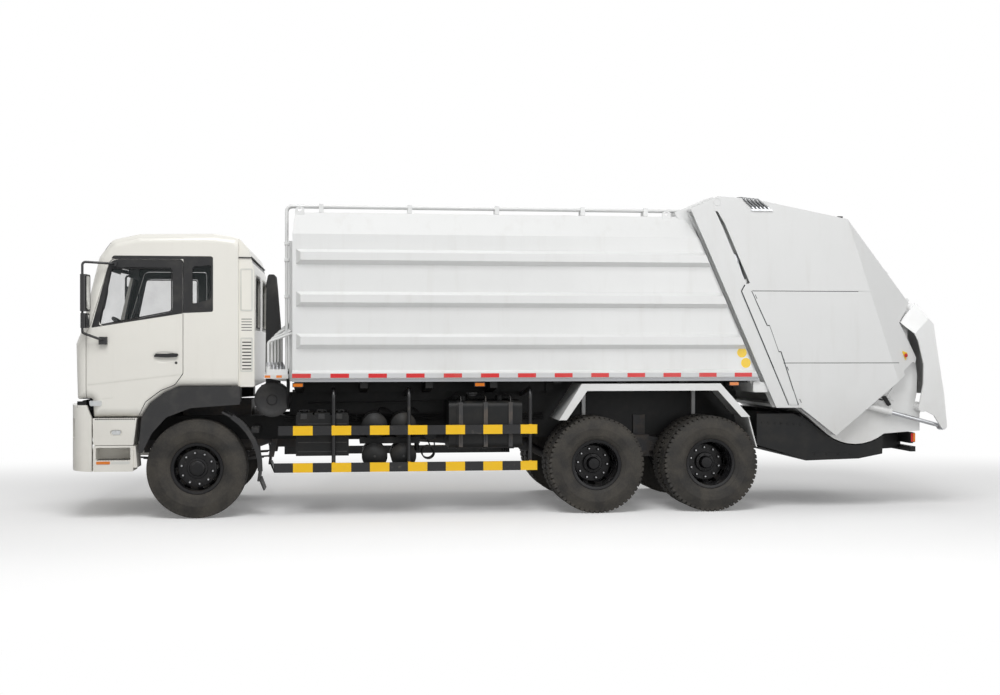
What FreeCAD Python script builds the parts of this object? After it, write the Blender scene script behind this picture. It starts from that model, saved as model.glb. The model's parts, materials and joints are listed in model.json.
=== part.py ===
"""Rear-loading garbage truck: a three-axle cab-over chassis with a compacting body.

Millimetres. +X runs to the rear, +Y to the truck's right, +Z up. Every x below is measured from the
front axle; save() shifts the finished solids so that the origin is under the middle of the truck.
"""
import FreeCAD
import Part
import math
import os
from FreeCAD import Vector

# Whole truck
front_overhang = 1430.0
rear_reach = 8410.0
half_width = 1250.0
wheelbase = 4350.0
tandem_spacing = 1300.0
seat_gap = 0.3
pin_gap = 0.6
running_gap = 5.0
panel_gap = 6.0

# Wheels
tyre_radius = 535.0
tyre_width = 285.0
rim_radius = 262.0
rim_depth = 26.0
rim_lip = 18.0
rim_edge = 99.75
front_track = 2 * (half_width - 230.0)
outer_track = 2 * (half_width - 158.0)
twin_spacing = 325.0
hub_radius = 112.0
spindle_radius = 45.0
hub_reach = 120.0
spindle_depth = twin_spacing / 2 + 142.0
drum_radius = 205.0
kingpin_offset = 150.0

# Chassis ladder
frame_top = 1070.0
rail_height = 270.0
rail_width = 80.0
rail_wall = 12.0
frame_half = 430.0
rail_front = -1180.0
rail_end = 6640.0

# Load body
body_front = 1014.0
body_floor_z = 1465.0
deck = 40.0
wall = 50.0
side_y = half_width - 60.0
shoulder_z = 3067.0
body_top = 3314.0
rib_depth = 45.0
roof_edge_y = side_y - 160.0
roof_crown = 34.0
rib_bottoms = (2782.0, 2324.0, 1868.0)
rib_face = 84.0
rib_top_slope = 34.0
rib_under_slope = 45.0
rib_end = 50.0
sill_height = 100.0
eye_rise, eye_bore = 28.0, 20.0

# Slanted joint between the body and the tailgate: x falls as z rises
slant_x = 6397.0
slant_z = 1160.0
slant_run = 0.443
portal_gap = 20.0
portal_width = 125.0
portal_y = side_y - 130.0
portal_rise = 50.0

# Tailgate
pivot_x, pivot_z = 5710.0, 3465.0
hinge_pin = 35.0
gate_wall = 40.0
gate_wall_y = half_width - 150.0
skin_y = half_width - 12.0
skin = 26.0
cover_thick = 45.0
gate_top = ((5717.0, 3529.0), (6144.0, 3503.0), (7230.0, 3292.0))
gate_rear_top = (8006.0, 2344.0)
trough_x, trough_z = 7380.0, 1285.0
trough_radius = 551.0
trough_wall = 30.0
floor_slope = 37.3
lip_x = 8150.0
lip_bottom = 881.0
lip_top = 1128.0

# Rams
ram_pin = 24.0
stub_reach = 32.0
stub_gap = 1.0
lift_y = -gate_wall_y - 56.0
lift_base = (6380.0, 1400.0)
lift_eye = (5960.0, 2850.0)
bucket_ram_y = -gate_wall_y - 72.0

# Packer, which slides along the slant and sweeps the trough
packer_travel = 800.0
packer_half = gate_wall_y - gate_wall - 15.0
carriage_length = 1080.0
carriage_thick = 90.0
blade_clear = 25.0
blade_boss = 70.0

# Loading bucket on the hopper lip
bucket_x, bucket_z = 8119.0, 1154.0
bucket_plate = 25.0
bucket_pin = 30.0
rod_eye = (8374.0, 938.0)

# Cab
cab_half = half_width - 35.0
grille_half = cab_half - 335.0
cab_wall = 55.0
cab_corner = 100.0
nose_bow = 4500.0
cab_back = 610.0
tilt_x, tilt_z = -1300.0, 1150.0
tilt_pin = 14.0
shoulder_x = 440.0
shoulder_step = 85.0
sill_z = 1100.0
door_front, door_rear = -1135.0, -139.0
door_top = 2772.0
glass = 8.0

origin_x = (rear_reach - front_overhang) / 2
middle_x = wheelbase
rear_x = wheelbase + tandem_spacing


def slant(z, behind=0.0):
    """x of the slanted joint at height z."""
    return slant_x - (z - slant_z) * slant_run + behind


def box(x0, x1, y0, y1, z0, z1):
    return Part.makeBox(x1 - x0, y1 - y0, z1 - z0, Vector(x0, y0, z0))


def rounded_wire(points, radii, make):
    """Closed outline through 2D points with tangent arcs at the corners; make turns (a, b) into a Vector."""
    count = len(points)
    if not hasattr(radii, "__len__"):
        radii = [radii] * count
    corners = []
    for i, (a, b) in enumerate(points):
        here = Vector(a, b, 0)
        before = Vector(*points[i - 1], 0) - here
        after = Vector(*points[(i + 1) % count], 0) - here
        if not radii[i]:
            corners.append((here, here, here))
            continue
        half = before.getAngle(after) / 2
        cut = radii[i] / math.tan(half)
        before, after = before.normalize(), after.normalize()
        middle = here + (before + after).normalize() * (radii[i] / math.sin(half) - radii[i])
        corners.append((here + before * cut, middle, here + after * cut))
    edges = []
    for i, (start, middle, end) in enumerate(corners):
        if (end - start).Length > 1e-6:
            edges.append(Part.Arc(make(start.x, start.y), make(middle.x, middle.y), make(end.x, end.y)).toShape())
        following = corners[(i + 1) % count][0]
        if (following - end).Length > 1e-6:
            edges.append(Part.LineSegment(make(end.x, end.y), make(following.x, following.y)).toShape())
    return Part.Wire(edges)


def side_prism(points, y0, y1, radii=0.0, inset=0.0):
    """An outline seen from the side, (x, z), drawn from y0 to y1."""
    wire = rounded_wire(points, radii, lambda a, b: Vector(a, y0, b))
    if inset:
        wire = wire.makeOffset2D(-inset)
    return Part.Face(wire).extrude(Vector(0, y1 - y0, 0))


def plan_prism(points, z0, z1, radii=0.0):
    wire = rounded_wire(points, radii, lambda a, b: Vector(a, b, z0))
    return Part.Face(wire).extrude(Vector(0, 0, z1 - z0))


def front_prism(points, x0, x1, radii=0.0, inset=0.0):
    """An outline seen from the front, (y, z), drawn from x0 to x1."""
    wire = rounded_wire(points, radii, lambda a, b: Vector(x0, a, b))
    if inset:
        wire = wire.makeOffset2D(-inset)
    return Part.Face(wire).extrude(Vector(x1 - x0, 0, 0))


def rod(start, end, radius):
    a, b = Vector(*start), Vector(*end)
    return Part.makeCylinder(radius, (b - a).Length, a, b - a)


def tube_path(points, radius, bend):
    """A round bar along straight runs joined by tangent arcs of radius bend."""
    pts = [Vector(*p) for p in points]
    edges, last = [], pts[0]
    for i in range(1, len(pts) - 1):
        back, ahead = (pts[i - 1] - pts[i]).normalize(), (pts[i + 1] - pts[i]).normalize()
        half = back.getAngle(ahead) / 2
        cut = bend / math.tan(half)
        start, end = pts[i] + back * cut, pts[i] + ahead * cut
        middle = pts[i] + (back + ahead).normalize() * (bend / math.sin(half) - bend)
        edges.append(Part.LineSegment(last, start).toShape())
        edges.append(Part.Arc(start, middle, end).toShape())
        last = end
    edges.append(Part.LineSegment(last, pts[-1]).toShape())
    path = Part.Wire(edges)
    ring = Part.Wire(Part.Circle(pts[0], pts[1] - pts[0], radius).toShape())
    return path.makePipeShell([ring], True, False)


def ring_about_y(profile, x, z):
    """Turns an outline of (radius, y) about the cross axis through (x, z)."""
    wire = rounded_wire([p[:2] for p in profile], [p[2] if len(p) > 2 else 0.0 for p in profile],
                        lambda a, b: Vector(x + a, b, z))
    return Part.Face(wire).revolve(Vector(x, 0, z), Vector(0, 1, 0), 360)


def mirrored(shape):
    return shape.mirror(Vector(0, 0, 0), Vector(0, 1, 0))


def both(shape):
    return [shape, mirrored(shape)]


def fused(*shapes):
    whole = shapes[0].multiFuse(list(shapes[1:])) if len(shapes) > 1 else shapes[0]
    return whole.removeSplitter()


def save(name, *shapes):
    solids = [s for shape in shapes for s in shape.Solids]
    whole = Part.makeCompound([s.copy() for s in solids])
    whole.translate(Vector(-origin_x, 0, 0))
    if not whole.isValid() or not solids:
        raise SystemExit(f"{name} is not a valid solid")
    os.makedirs("parts", exist_ok=True)
    whole.exportStep(f"parts/{name}.step")
    print(name, len(solids), "solids", round(sum(s.Volume for s in solids) / 1e9, 4), "m3")


# Wheels and axles

def tyre(x, y):
    """Cross-section of a truck tyre whose beads sit between the rim's flanges."""
    half = tyre_width / 2
    side = [(rim_radius + seat_gap, rim_edge - 8 - seat_gap), (rim_radius + rim_lip + seat_gap, rim_edge - 6 - seat_gap),
            (tyre_radius * 0.70, half), (tyre_radius * 0.93, half * 0.93), (tyre_radius, half * 0.78)]
    outline = [(r, y - t) for r, t in side] + [(r, y + t) for r, t in reversed(side)]
    return ring_about_y(outline, x, tyre_radius)


def front_wheel(sign):
    """Single wheel and drum on a steering knuckle. Returns tyre, wheel and knuckle solids."""
    y = sign * front_track / 2
    disc = y + sign * 62.0
    inner = y - sign * 58.0
    bore_depth = abs(disc - inner) - 20.0
    bore = spindle_radius + pin_gap
    edge = rim_edge
    barrel = rim_radius - rim_depth
    outline = [(bore, -58), (drum_radius, -58), (drum_radius, 12), (hub_radius, 12), (hub_radius, 18), (195, 18), (195, 48),
               (barrel, 36), (barrel, -edge - 4), (rim_radius + 18, -edge - 4), (rim_radius + 18, 6 - edge),
               (rim_radius, 8 - edge), (rim_radius, edge - 8), (rim_radius + 18, edge - 6), (rim_radius + 18, edge + 4),
               (barrel, edge + 4), (barrel, 62), (hub_radius * 0.72, 62), (hub_radius * 0.6, 88), (0, 88),
               (0, bore_depth - 58), (bore, bore_depth - 58)]
    wheel = ring_about_y([(r, y + sign * t) for r, t in outline], 0.0, tyre_radius)
    hole = Part.makeCylinder(20.0, 60.0, Vector(0, disc - sign * 40, tyre_radius + barrel - 22), Vector(0, sign, 0))
    holes = [hole.copy() for k in range(8)]
    for k, cut in enumerate(holes):
        cut.rotate(Vector(0, 0, tyre_radius), Vector(0, 1, 0), 360.0 * (k + 0.5) / 8)
    wheel = wheel.cut(Part.makeCompound(holes))
    kingpin = y - sign * kingpin_offset
    root = kingpin + sign * 60.0
    spindle = Part.makeCylinder(spindle_radius, abs(inner - root) + bore_depth - running_gap,
                                Vector(0, root, tyre_radius), Vector(0, sign, 0))
    back_plate = Part.makeCylinder(drum_radius - 12, 14.0, Vector(0, inner - sign * (14.0 + running_gap), tyre_radius),
                                   Vector(0, sign, 0))
    near, far = sorted((kingpin - sign * 38.0, kingpin + sign * 38.0))
    low_y, high_y = sorted((kingpin - sign * 38.0, kingpin + sign * 80.0))
    upright = box(-48, 48, low_y, high_y, tyre_radius - 105, tyre_radius + 105)
    low_y, high_y = sorted((kingpin - sign * 60.0, kingpin + sign * 52.0))
    mouth = box(-60, 60, low_y, high_y, tyre_radius - 56, tyre_radius + 56)
    pin = Part.makeCylinder(24.0, 210.0, Vector(0, kingpin, tyre_radius - 105))
    arm = box(-260, -20, near + 10, far - 10, tyre_radius - 100, tyre_radius - 76)
    knuckle = fused(spindle, back_plate, upright.cut(mouth), pin, arm)
    return tyre(0.0, y), wheel, knuckle


def front_axle():
    """Drop-forged I-beam under two leaf springs, with eyes round the kingpins."""
    kingpin = front_track / 2 - kingpin_offset
    low, high = tyre_radius - 140.0, tyre_radius
    half = [(350, low + 96), (250, high + 30), (70, high + 48), (70, high - 48), (230, high - 60), (310, low)]
    centre = [(kingpin - a, b) for a, b in half] + [(a - kingpin, b) for a, b in reversed(half)]
    beam = front_prism(centre, -46, 46)
    flat = kingpin - 370
    web = front_prism([(-flat, low + 20), (-flat, low + 76), (flat, low + 76), (flat, low + 20)], -46, -14)
    beam = beam.cut(web).cut(web.mirror(Vector(0, 0, 0), Vector(1, 0, 0)))
    eyes = []
    for sign in (-1, 1):
        eye = Part.makeCylinder(46.0, 104.0, Vector(0, sign * kingpin, high - 52))
        link = box(-40, 40, min(sign * kingpin, sign * (kingpin - 90)), max(sign * kingpin, sign * (kingpin - 90)),
                   high - 48, high + 48)
        bore = Part.makeCylinder(24.0 + pin_gap, 120.0, Vector(0, sign * kingpin, high - 60))
        eyes.append(fused(eye, link).cut(bore))
    axle = fused(beam, *eyes)
    springs = []
    under = -frame_half - 10
    for leaf in range(6):
        reach = 760.0 - 95.0 * leaf
        z = low + 96 + 14.0 * (5 - leaf)
        drop = 40.0
        arch = [(-reach, z + drop + 14), (0, z + 14), (reach, z + drop + 14), (reach, z + drop), (0, z), (-reach, z + drop)]
        springs.append(side_prism(arch, under, under + 75))
    clamp = box(-75, 75, under - 10, under + 85, low + 90, low + 96 + 110)
    left = fused(clamp, *springs)
    shackles = []
    for end, lean in ((-745, -20), (745, 40)):
        shackles.append(side_prism([(end - 30, low + 200), (end + 30, low + 200), (end + 30 + lean, frame_top - rail_height),
                                    (end - 30 + lean, frame_top - rail_height)], under, under + 75))
    left = fused(left, *shackles)
    return fused(axle, left, mirrored(left))


def twin_wheels(x):
    """Left pair: two tyres on two dished rims that meet on one hub with its drum, turned as one outline."""
    outer_y = -outer_track / 2
    bore = spindle_radius + pin_gap
    barrel = rim_radius - rim_depth
    flange = rim_radius + rim_lip
    edge = rim_edge
    near = -twin_spacing
    back = near - hub_reach
    meet = near / 2 - 8.0
    outline = [(bore, back), (drum_radius, back), (drum_radius, back + 165), (hub_radius, back + 165), (hub_radius, meet - 24),
               (188, meet - 24), (barrel, near + 56), (barrel, near - edge - 4), (flange, near - edge - 4),
               (flange, near - edge + 6), (rim_radius, near - edge + 8), (rim_radius, near + edge - 8),
               (flange, near + edge - 6), (flange, near + edge + 4), (barrel, near + edge + 4), (barrel, near + 82),
               (196, meet - 10), (196, meet + 10), (barrel, -79), (barrel, -edge - 4), (flange, -edge - 4),
               (flange, 6 - edge), (rim_radius, 8 - edge), (rim_radius, edge - 8), (flange, edge - 6), (flange, edge + 4),
               (barrel, edge + 4), (barrel, -56), (188, meet + 24), (hub_radius, meet + 24), (hub_radius, meet + 50),
               (80, meet + 50), (67, meet + 120), (0, meet + 120), (0, back + spindle_depth), (bore, back + spindle_depth)]
    wheel = ring_about_y([(r, outer_y - t) for r, t in outline], x, tyre_radius)
    hole = Part.makeCylinder(18.0, -50.0 - (back + 170), Vector(x, outer_y - back - 170, tyre_radius + 215),
                             Vector(0, -1, 0))
    holes = [hole.copy() for k in range(8)]
    for k, cut in enumerate(holes):
        cut.rotate(Vector(x, 0, tyre_radius), Vector(0, 1, 0), 360.0 * (k + 0.5) / 8)
    return [tyre(x, outer_y), tyre(x, outer_y - near)], wheel.cut(Part.makeCompound(holes))


def rear_axle(x):
    """Banjo axle casing with a differential bowl and the spindles the hubs run on."""
    hub_in = outer_track / 2 - twin_spacing - hub_reach
    tip = hub_in + spindle_depth - running_gap
    shaft = rod((x, -tip, tyre_radius), (x, tip, tyre_radius), spindle_radius)
    casing = rod((x, -(hub_in - running_gap - 14), tyre_radius), (x, hub_in - running_gap - 14, tyre_radius), 72.0)
    bowl = Part.makeSphere(215.0, Vector(x, 0, tyre_radius))
    bowl = bowl.common(box(x - 175, x + 175, -215, 215, 0, 2 * tyre_radius))
    nose = Part.makeCone(130.0, 62.0, 250.0, Vector(x - 130, 0, tyre_radius + 20), Vector(-1, 0, 0.06))
    plates = [Part.makeCylinder(drum_radius - 14, 14.0, Vector(x, y, tyre_radius), Vector(0, 1, 0))
              for y in (running_gap - hub_in, hub_in - running_gap - 14)]
    return fused(shaft, casing, bowl, nose, *plates)


def rear_bogie():
    """Two axles hung from inverted leaf packs that rock on a trunnion."""
    centre = (middle_x + rear_x) / 2
    spring_low = tyre_radius + 78.0
    leaves = []
    out = -frame_half - 145
    for leaf in range(8):
        reach = tandem_spacing / 2 + 90.0 - 62.0 * leaf
        z = spring_low + 22.0 * leaf
        leaves.append(side_prism([(centre - reach, z), (centre, z + 26), (centre + reach, z), (centre + reach, z + 18),
                                  (centre, z + 46), (centre - reach, z + 18)], out + 15, out + 105))
    saddle = box(centre - 95, centre + 95, out, out + 120, spring_low - 40, spring_low + 210)
    post = box(centre - 70, centre + 70, out + 120, -frame_half, spring_low - 60, frame_top - 20)
    seats = [box(x - 75, x + 75, out + 10, out + 110, tyre_radius + 55, spring_low + 4) for x in (middle_x, rear_x)]
    left = fused(saddle, post, *leaves, *seats)
    cap = rod((centre, out - 25, spring_low + 40), (centre, out + 5, spring_low + 40), 58.0)
    left = fused(left, cap)
    return fused(rear_axle(middle_x), rear_axle(rear_x), left, mirrored(left))


# Chassis

def ladder():
    rail = [(-frame_half, frame_top - rail_height), (-frame_half, frame_top), (-frame_half + rail_width, frame_top),
            (-frame_half + rail_width, frame_top - rail_wall), (-frame_half + rail_wall, frame_top - rail_wall),
            (-frame_half + rail_wall, frame_top - rail_height + rail_wall),
            (-frame_half + rail_width, frame_top - rail_height + rail_wall),
            (-frame_half + rail_width, frame_top - rail_height)]
    left = front_prism(rail, rail_front, rail_end)
    inner = frame_half - rail_wall
    members = [box(x - 45, x + 45, -inner, inner, frame_top - 140, frame_top - 40)
               for x in (rail_front + 60, 1500.0, 2700.0, middle_x - 520, (middle_x + rear_x) / 2, rear_x + 420,
                         rail_end - 60)]
    px, pz = tilt_x, tilt_z
    horn = side_prism([(rail_front, frame_top - 60), (rail_front + 52, frame_top - 60), (rail_front + 52, frame_top + 40),
                       (px + 10, pz + 26), (px - 24, pz + 12), (px - 24, pz - 40)], -frame_half, -frame_half + rail_width - 40,
                      [0, 0, 10, 20, 20, 20])
    pin = rod((px, -frame_half, pz), (px, -frame_half - 40, pz), tilt_pin)
    horn = fused(horn, pin)
    return fused(left, mirrored(left), *members, horn, mirrored(horn))


def engine():
    """Engine block with its gearbox and the shafts to the two driven axles."""
    half = frame_half - rail_width - 20
    block = fused(box(-640, 520, -half, half, 700, 1055), box(-240, 520, -half, half, 1050, 1240),
                  box(-1000, -940, -half, half, 620, 1050), box(-945, -635, -60, 60, 760, 840))
    bell = Part.makeCone(250.0, 150.0, 240.0, Vector(520, 0, 900), Vector(1, 0, -0.06))
    gearbox = box(740, 1330, -170, 170, 690, 1010)
    centre = (middle_x - 640, 0, tyre_radius + 160)
    front_shaft = rod((1320, 0, 850), centre, 55.0)
    carrier = Part.makeSphere(95.0, Vector(*centre))
    nose = Vector(middle_x - 379.55, 0, tyre_radius + 34.97)
    aim = Vector(-1, 0, 0.06).normalize()
    flange = Part.makeCylinder(55.0, 45.0, nose + aim * seat_gap, aim)
    middle_shaft = rod(centre, nose + aim * 44, 50.0)
    hanger = box(centre[0] - 30, centre[0] + 30, -60, 60, centre[2] + 60, frame_top - 140)
    carrier = carrier.fuse(hanger)
    through = rod((middle_x + 175 + seat_gap, 0, tyre_radius + 30), (rear_x - 382.7, 0, tyre_radius + 33), 45.0)
    return fused(block, bell, gearbox, front_shaft, carrier, middle_shaft, flange), through


def fuel_tank():
    x0, x1, z0, z1 = 2710.0, 3520.0, 728.0, 1245.0
    out = -half_width + 80
    tank = front_prism([(out, z0), (out, z1), (-560, z1), (-560, z0)], x0, x1, 60.0)
    straps = []
    for x in (x0 + 110, x0 + 400, x1 - 110):
        band = front_prism([(out - 10, z0 - 8), (out - 10, z1 + 8), (-552, z1 + 8), (-552, z0 - 8)], x - 22, x + 22, 64.0)
        straps.append(band)
        straps.append(box(x - 30, x + 30, -560, -frame_half, 820, 1030))
    caps = [rod((x, -870, z1 - 4), (x, -870, z1 + 55), 45.0) for x in (x0 + 180, x1 - 220)]
    return fused(tank, *straps, *caps)


def chassis_tanks():
    """Battery box and four air reservoirs on one rack, left of the frame."""
    out = -half_width + 120
    battery = box(1050, 1620, out, -560, 660, 1100)
    lid = [box(1060 + 190 * k, 1230 + 190 * k, out + 10, -600, 1100, 1126) for k in range(3)]
    rack = box(1040, 2420, -600, -frame_half, 800, 860)
    tanks = []
    for x in (1901.0, 2217.0):
        for z in (649.0, 981.0):
            body = Part.makeCylinder(134.0, 560.0, Vector(x, out + 40, z), Vector(0, 1, 0))
            cap = box(x - 140, x + 140, out - 70, out + 45, z - 140, z + 140)
            end = Part.makeSphere(220.0, Vector(x, out + 214, z)).common(cap)
            tanks.append(fused(body, end))
    shelf = box(1740, 2400, -1010, -frame_half, 780, 850)
    valve = rod((2520, -900, 880), (2520, -700, 880), 75.0)
    hanger = box(2370, 2560, -760, -frame_half, 806, 900)
    dryer = rod((2372, -880, 690), (2372, -880, 800), 27.0)
    return fused(battery, *lid, rack, *tanks, shelf, valve, hanger, dryer)


def side_guards():
    """Two flat bars each side on three bent posts."""
    y = -half_width + 20
    posts = []
    for x in (1456.0, 2272.0, 3607.0):
        posts.append(tube_path([(x, -frame_half - seat_gap - 2.9, 1295), (x, y + 45, 1395), (x, y + 45, 495)], 22.0, 90.0))
    bars = []
    for z0, x0 in ((890.0, 860.0), (490.0, 821.0)):
        bars.append(plan_prism([(x0, y), (x0, y + 30), (3682, y + 30), (3682, y)], z0, z0 + 100, [14.9, 0, 0, 14.9]))
    return [fused(*posts, *bars), mirrored(fused(*posts, *bars))]


def front_mudguards():
    """The chassis half of the front wheel arch: a curved plastic guard with a flap."""
    inner, thick = 655.0, 22.0
    points = []
    for k in range(9):
        a = math.radians(-12 + 78 * k / 8)
        points.append((inner * math.cos(a), tyre_radius + inner * math.sin(a)))
    for k in range(9):
        a = math.radians(66 - 78 * k / 8)
        points.append(((inner + thick) * math.cos(a), tyre_radius + (inner + thick) * math.sin(a)))
    out = -half_width + 60
    guard = side_prism(points, out, -840)
    flap = side_prism([(inner, 420), (inner + thick, 420), (inner + 66, 300), (inner + 52, 296)], out + 10, -850)
    lip = side_prism([(p[0] * 0.99, tyre_radius + (p[1] - tyre_radius) * 0.99) for p in points[1:8]]
                     + [(p[0] * 1.07, tyre_radius + (p[1] - tyre_radius) * 1.07) for p in reversed(points[1:8])],
                     out - 15, out)
    hanger = box(560, 640, -900, -frame_half, 900, 960)
    return both(fused(guard, flap, lip, hanger))


def rear_mudguards():
    """Angular sheet guards over both driven axles, with a turned-down outer edge."""
    lead, tail = middle_x - 430, rear_x + 440
    top = body_floor_z - 30.0
    outer = [(lead, 1035), (lead + 255, top), (rear_x + 100, top), (tail, 1060)]
    cutter = [(lead + 82, 1030), (lead + 315, top - 78), (rear_x + 130 - 60, top - 78), (tail - 80, 1040)]
    inside = [(lead + 9, 1030), (lead + 262, top - 8), (rear_x + 96, top - 8), (tail - 9, 1040)]
    full = side_prism(outer, -half_width + 5, -620)
    edge = side_prism(outer, -half_width + 5, -half_width + 13).cut(side_prism(cutter, -half_width, -half_width + 20))
    sheet = full.cut(side_prism(inside, -half_width, -600))
    stays = [box(x - 20, x + 20, -700, -frame_half, top - 60, top - 8) for x in (lead + 420, rear_x)]
    stays += [box(x - 20, x + 20, -frame_half - 40, -frame_half, frame_top - 60, top - 8) for x in (lead + 420, rear_x)]
    flap = side_prism([(tail - 12, 1068), (tail, 1068), (tail + 95, 720), (tail + 83, 720)], -half_width + 50, -660)
    return both(fused(sheet, edge, *stays, flap))


def air_intake():
    """Snorkel that rises behind the cab from an air cleaner on the frame."""
    duct = side_prism([(690, 1560), (700, 2560), (720, 2660), (800, 2660), (818, 2480), (850, 2080), (858, 1560)],
                      -560, -250, [0, 0, 30, 30, 0, 0, 0])
    throat = box(690, 850, -500, -330, 1180, 1560)
    canister = Part.makeCylinder(190.0, 420.0, Vector(780, -860, 1260), Vector(0, 1, 0))
    foot = box(720, 840, -640, -frame_half + 20, frame_top, 1110)
    return fused(duct, throat, canister, foot)


def rear_underframe():
    """Drain tank cradling the hopper, its brackets to the frame, and the lamp and underrun bar."""
    gap = 14.0
    r = trough_radius + gap
    start, stop = math.radians(-90 - floor_slope), math.radians(-54)
    arc = [(trough_x + r * math.cos(a), trough_z + r * math.sin(a))
           for a in [start + (stop - start) * k / 6 for k in range(7)]]
    run = 7120.0 - 6790.0
    shelf = (arc[0][0] - run, arc[0][1] + run * math.tan(math.radians(floor_slope)))
    tank = side_prism([(6790, 549), (7417, 566), (7700, 619), (arc[-1][0], arc[-1][1])] + arc[-2::-1]
                      + [shelf, (6740, 1040), (6740, 575)], -1100, 1100)
    bracket = [(6215, 735), (6800, 560), (6745, 1040), (6640, 1085), (6215, 1085)]
    cheeks = both(side_prism(bracket, -1100, -1080)) + both(side_prism(bracket, -frame_half - 20, -frame_half))
    ties = [box(x - 30, x + 30, -1100, 1100, z, z + 60) for x, z in ((6300, 735), (6600, 655))]
    arms = both(side_prism([(7690, 640), (7690, 800), (8050, 840), (8050, 660)], -760, -700))
    boards = both(box(8040, 8075, -1090, -640, 735, 862))
    bar = box(8040, 8100, -1100, 1100, 640, 700)
    lamps = both(box(8075, 8100, -1085, -900, 745, 855)) + both(box(8075, 8100, -890, -660, 745, 855))
    posts = both(box(8042, 8070, -760, -700, 690, 745))
    return fused(tank, *cheeks, *ties, *arms, *boards, bar, *lamps, *posts)


# Load body

def body_outline():
    """The body's side view, with its front top corner laid back and its rear cut on the slant."""
    behind = -60.0
    return [(body_front, body_floor_z), (body_front, shoulder_z), (body_front + 31, body_top + 60),
            (slant(body_top + 60, behind), body_top + 60), (slant(body_floor_z, behind), body_floor_z)]


def hinge_ear(grow=0.0):
    """Left hinge ear on the portal's top; grow widens it all round."""
    ahead, behind = -portal_gap - portal_width, -portal_gap
    outline = [(slant(3120, ahead), 3120), (slant(3120, behind), 3120), (pivot_x - 20, pivot_z - 150),
               (pivot_x + 85, pivot_z - 60), (pivot_x + 85, pivot_z + 40), (pivot_x + 10, pivot_z + 80),
               (pivot_x - 90, pivot_z + 50), (slant(body_top + portal_rise, ahead), body_top + portal_rise)]
    return side_prism(outline, -roof_edge_y - 20 - grow, -roof_edge_y + 20 + grow, [0, 0, 60, 70, 60, 60, 60, 0], -grow)


def body_side():
    """Left wall: folded shoulder, three pressed ribs and the sill rail, all one wall."""
    inner_y = side_y - wall
    shoulder = [(-side_y, body_floor_z), (-side_y, shoulder_z), (-roof_edge_y, body_top), (-roof_edge_y, body_top - wall),
                (-inner_y, shoulder_z - 18), (-inner_y, body_floor_z)]
    length = slant(body_floor_z) - body_front
    sheet = front_prism(shoulder, body_front, body_front + length)
    ribs = []
    for bottom in rib_bottoms:
        top = bottom + rib_face
        section = [(-side_y, bottom - rib_under_slope), (-half_width, bottom), (-half_width, top),
                   (-side_y, top + rib_top_slope)]
        rib = front_prism(section, body_front + 40, body_front + length)
        tip = plan_prism([(body_front, -side_y), (body_front + 40, -side_y), (body_front + 40 + rib_end, -half_width - 1),
                          (body_front, -half_width - 1)], bottom - 100, top + 100)
        ribs.append(rib.cut(tip))
    sill = [(-side_y, body_floor_z), (-half_width + 15, body_floor_z), (-half_width + 15, body_floor_z + 38),
            (-half_width, body_floor_z + 44), (-half_width, body_floor_z + sill_height),
            (-side_y, body_floor_z + sill_height + 24)]
    rail = front_prism(sill, body_front, body_front + length)
    whole = fused(sheet, *ribs, rail).common(side_prism(body_outline(), -half_width, -roof_edge_y + 1))
    return whole.cut(hinge_ear(seat_gap))


def roof_z(y):
    """Height of the crowned roof at a distance y from the middle."""
    radius = (roof_edge_y ** 2 + roof_crown ** 2) / (2 * roof_crown)
    return body_top + roof_crown - radius + math.sqrt(radius ** 2 - y ** 2)


def body_roof():
    """Slightly crowned roof panel with cross ribs pressed up."""
    crown = Part.Arc(Vector(body_front, -roof_edge_y, body_top), Vector(body_front, 0, body_top + roof_crown),
                     Vector(body_front, roof_edge_y, body_top)).toShape()
    lines = [Part.LineSegment(Vector(body_front, roof_edge_y, body_top), Vector(body_front, roof_edge_y, body_top - wall)),
             Part.LineSegment(Vector(body_front, roof_edge_y, body_top - wall),
                              Vector(body_front, -roof_edge_y, body_top - wall)),
             Part.LineSegment(Vector(body_front, -roof_edge_y, body_top - wall), Vector(body_front, -roof_edge_y, body_top))]
    sheet = Part.Face(Part.Wire([crown] + [s.toShape() for s in lines])).extrude(Vector(slant(1400) - body_front, 0, 0))
    sheet = sheet.common(side_prism(body_outline(), -roof_edge_y, roof_edge_y))
    return sheet.cut(Part.makeCompound(both(hinge_ear(seat_gap))))


def body_front_wall():
    inner = side_y - wall
    panel = box(body_front, body_front + wall, -inner, inner, body_floor_z + deck, shoulder_z - 40)
    top = front_prism([(-inner, shoulder_z - 40), (-inner, shoulder_z - 18), (-roof_edge_y, body_top - wall),
                       (roof_edge_y, body_top - wall), (inner, shoulder_z - 18), (inner, shoulder_z - 40)],
                      body_front + 31, body_front + 31 + wall)
    link = box(body_front, body_front + 31 + wall, -inner + 20, inner - 20, shoulder_z - 90, shoulder_z - 40)
    ribs = [box(body_front - rib_depth, body_front, y - 40, y + 40, body_floor_z, shoulder_z - 60) for y in (-900, -300, 300, 900)]
    return fused(panel, top, link, *ribs)


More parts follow.
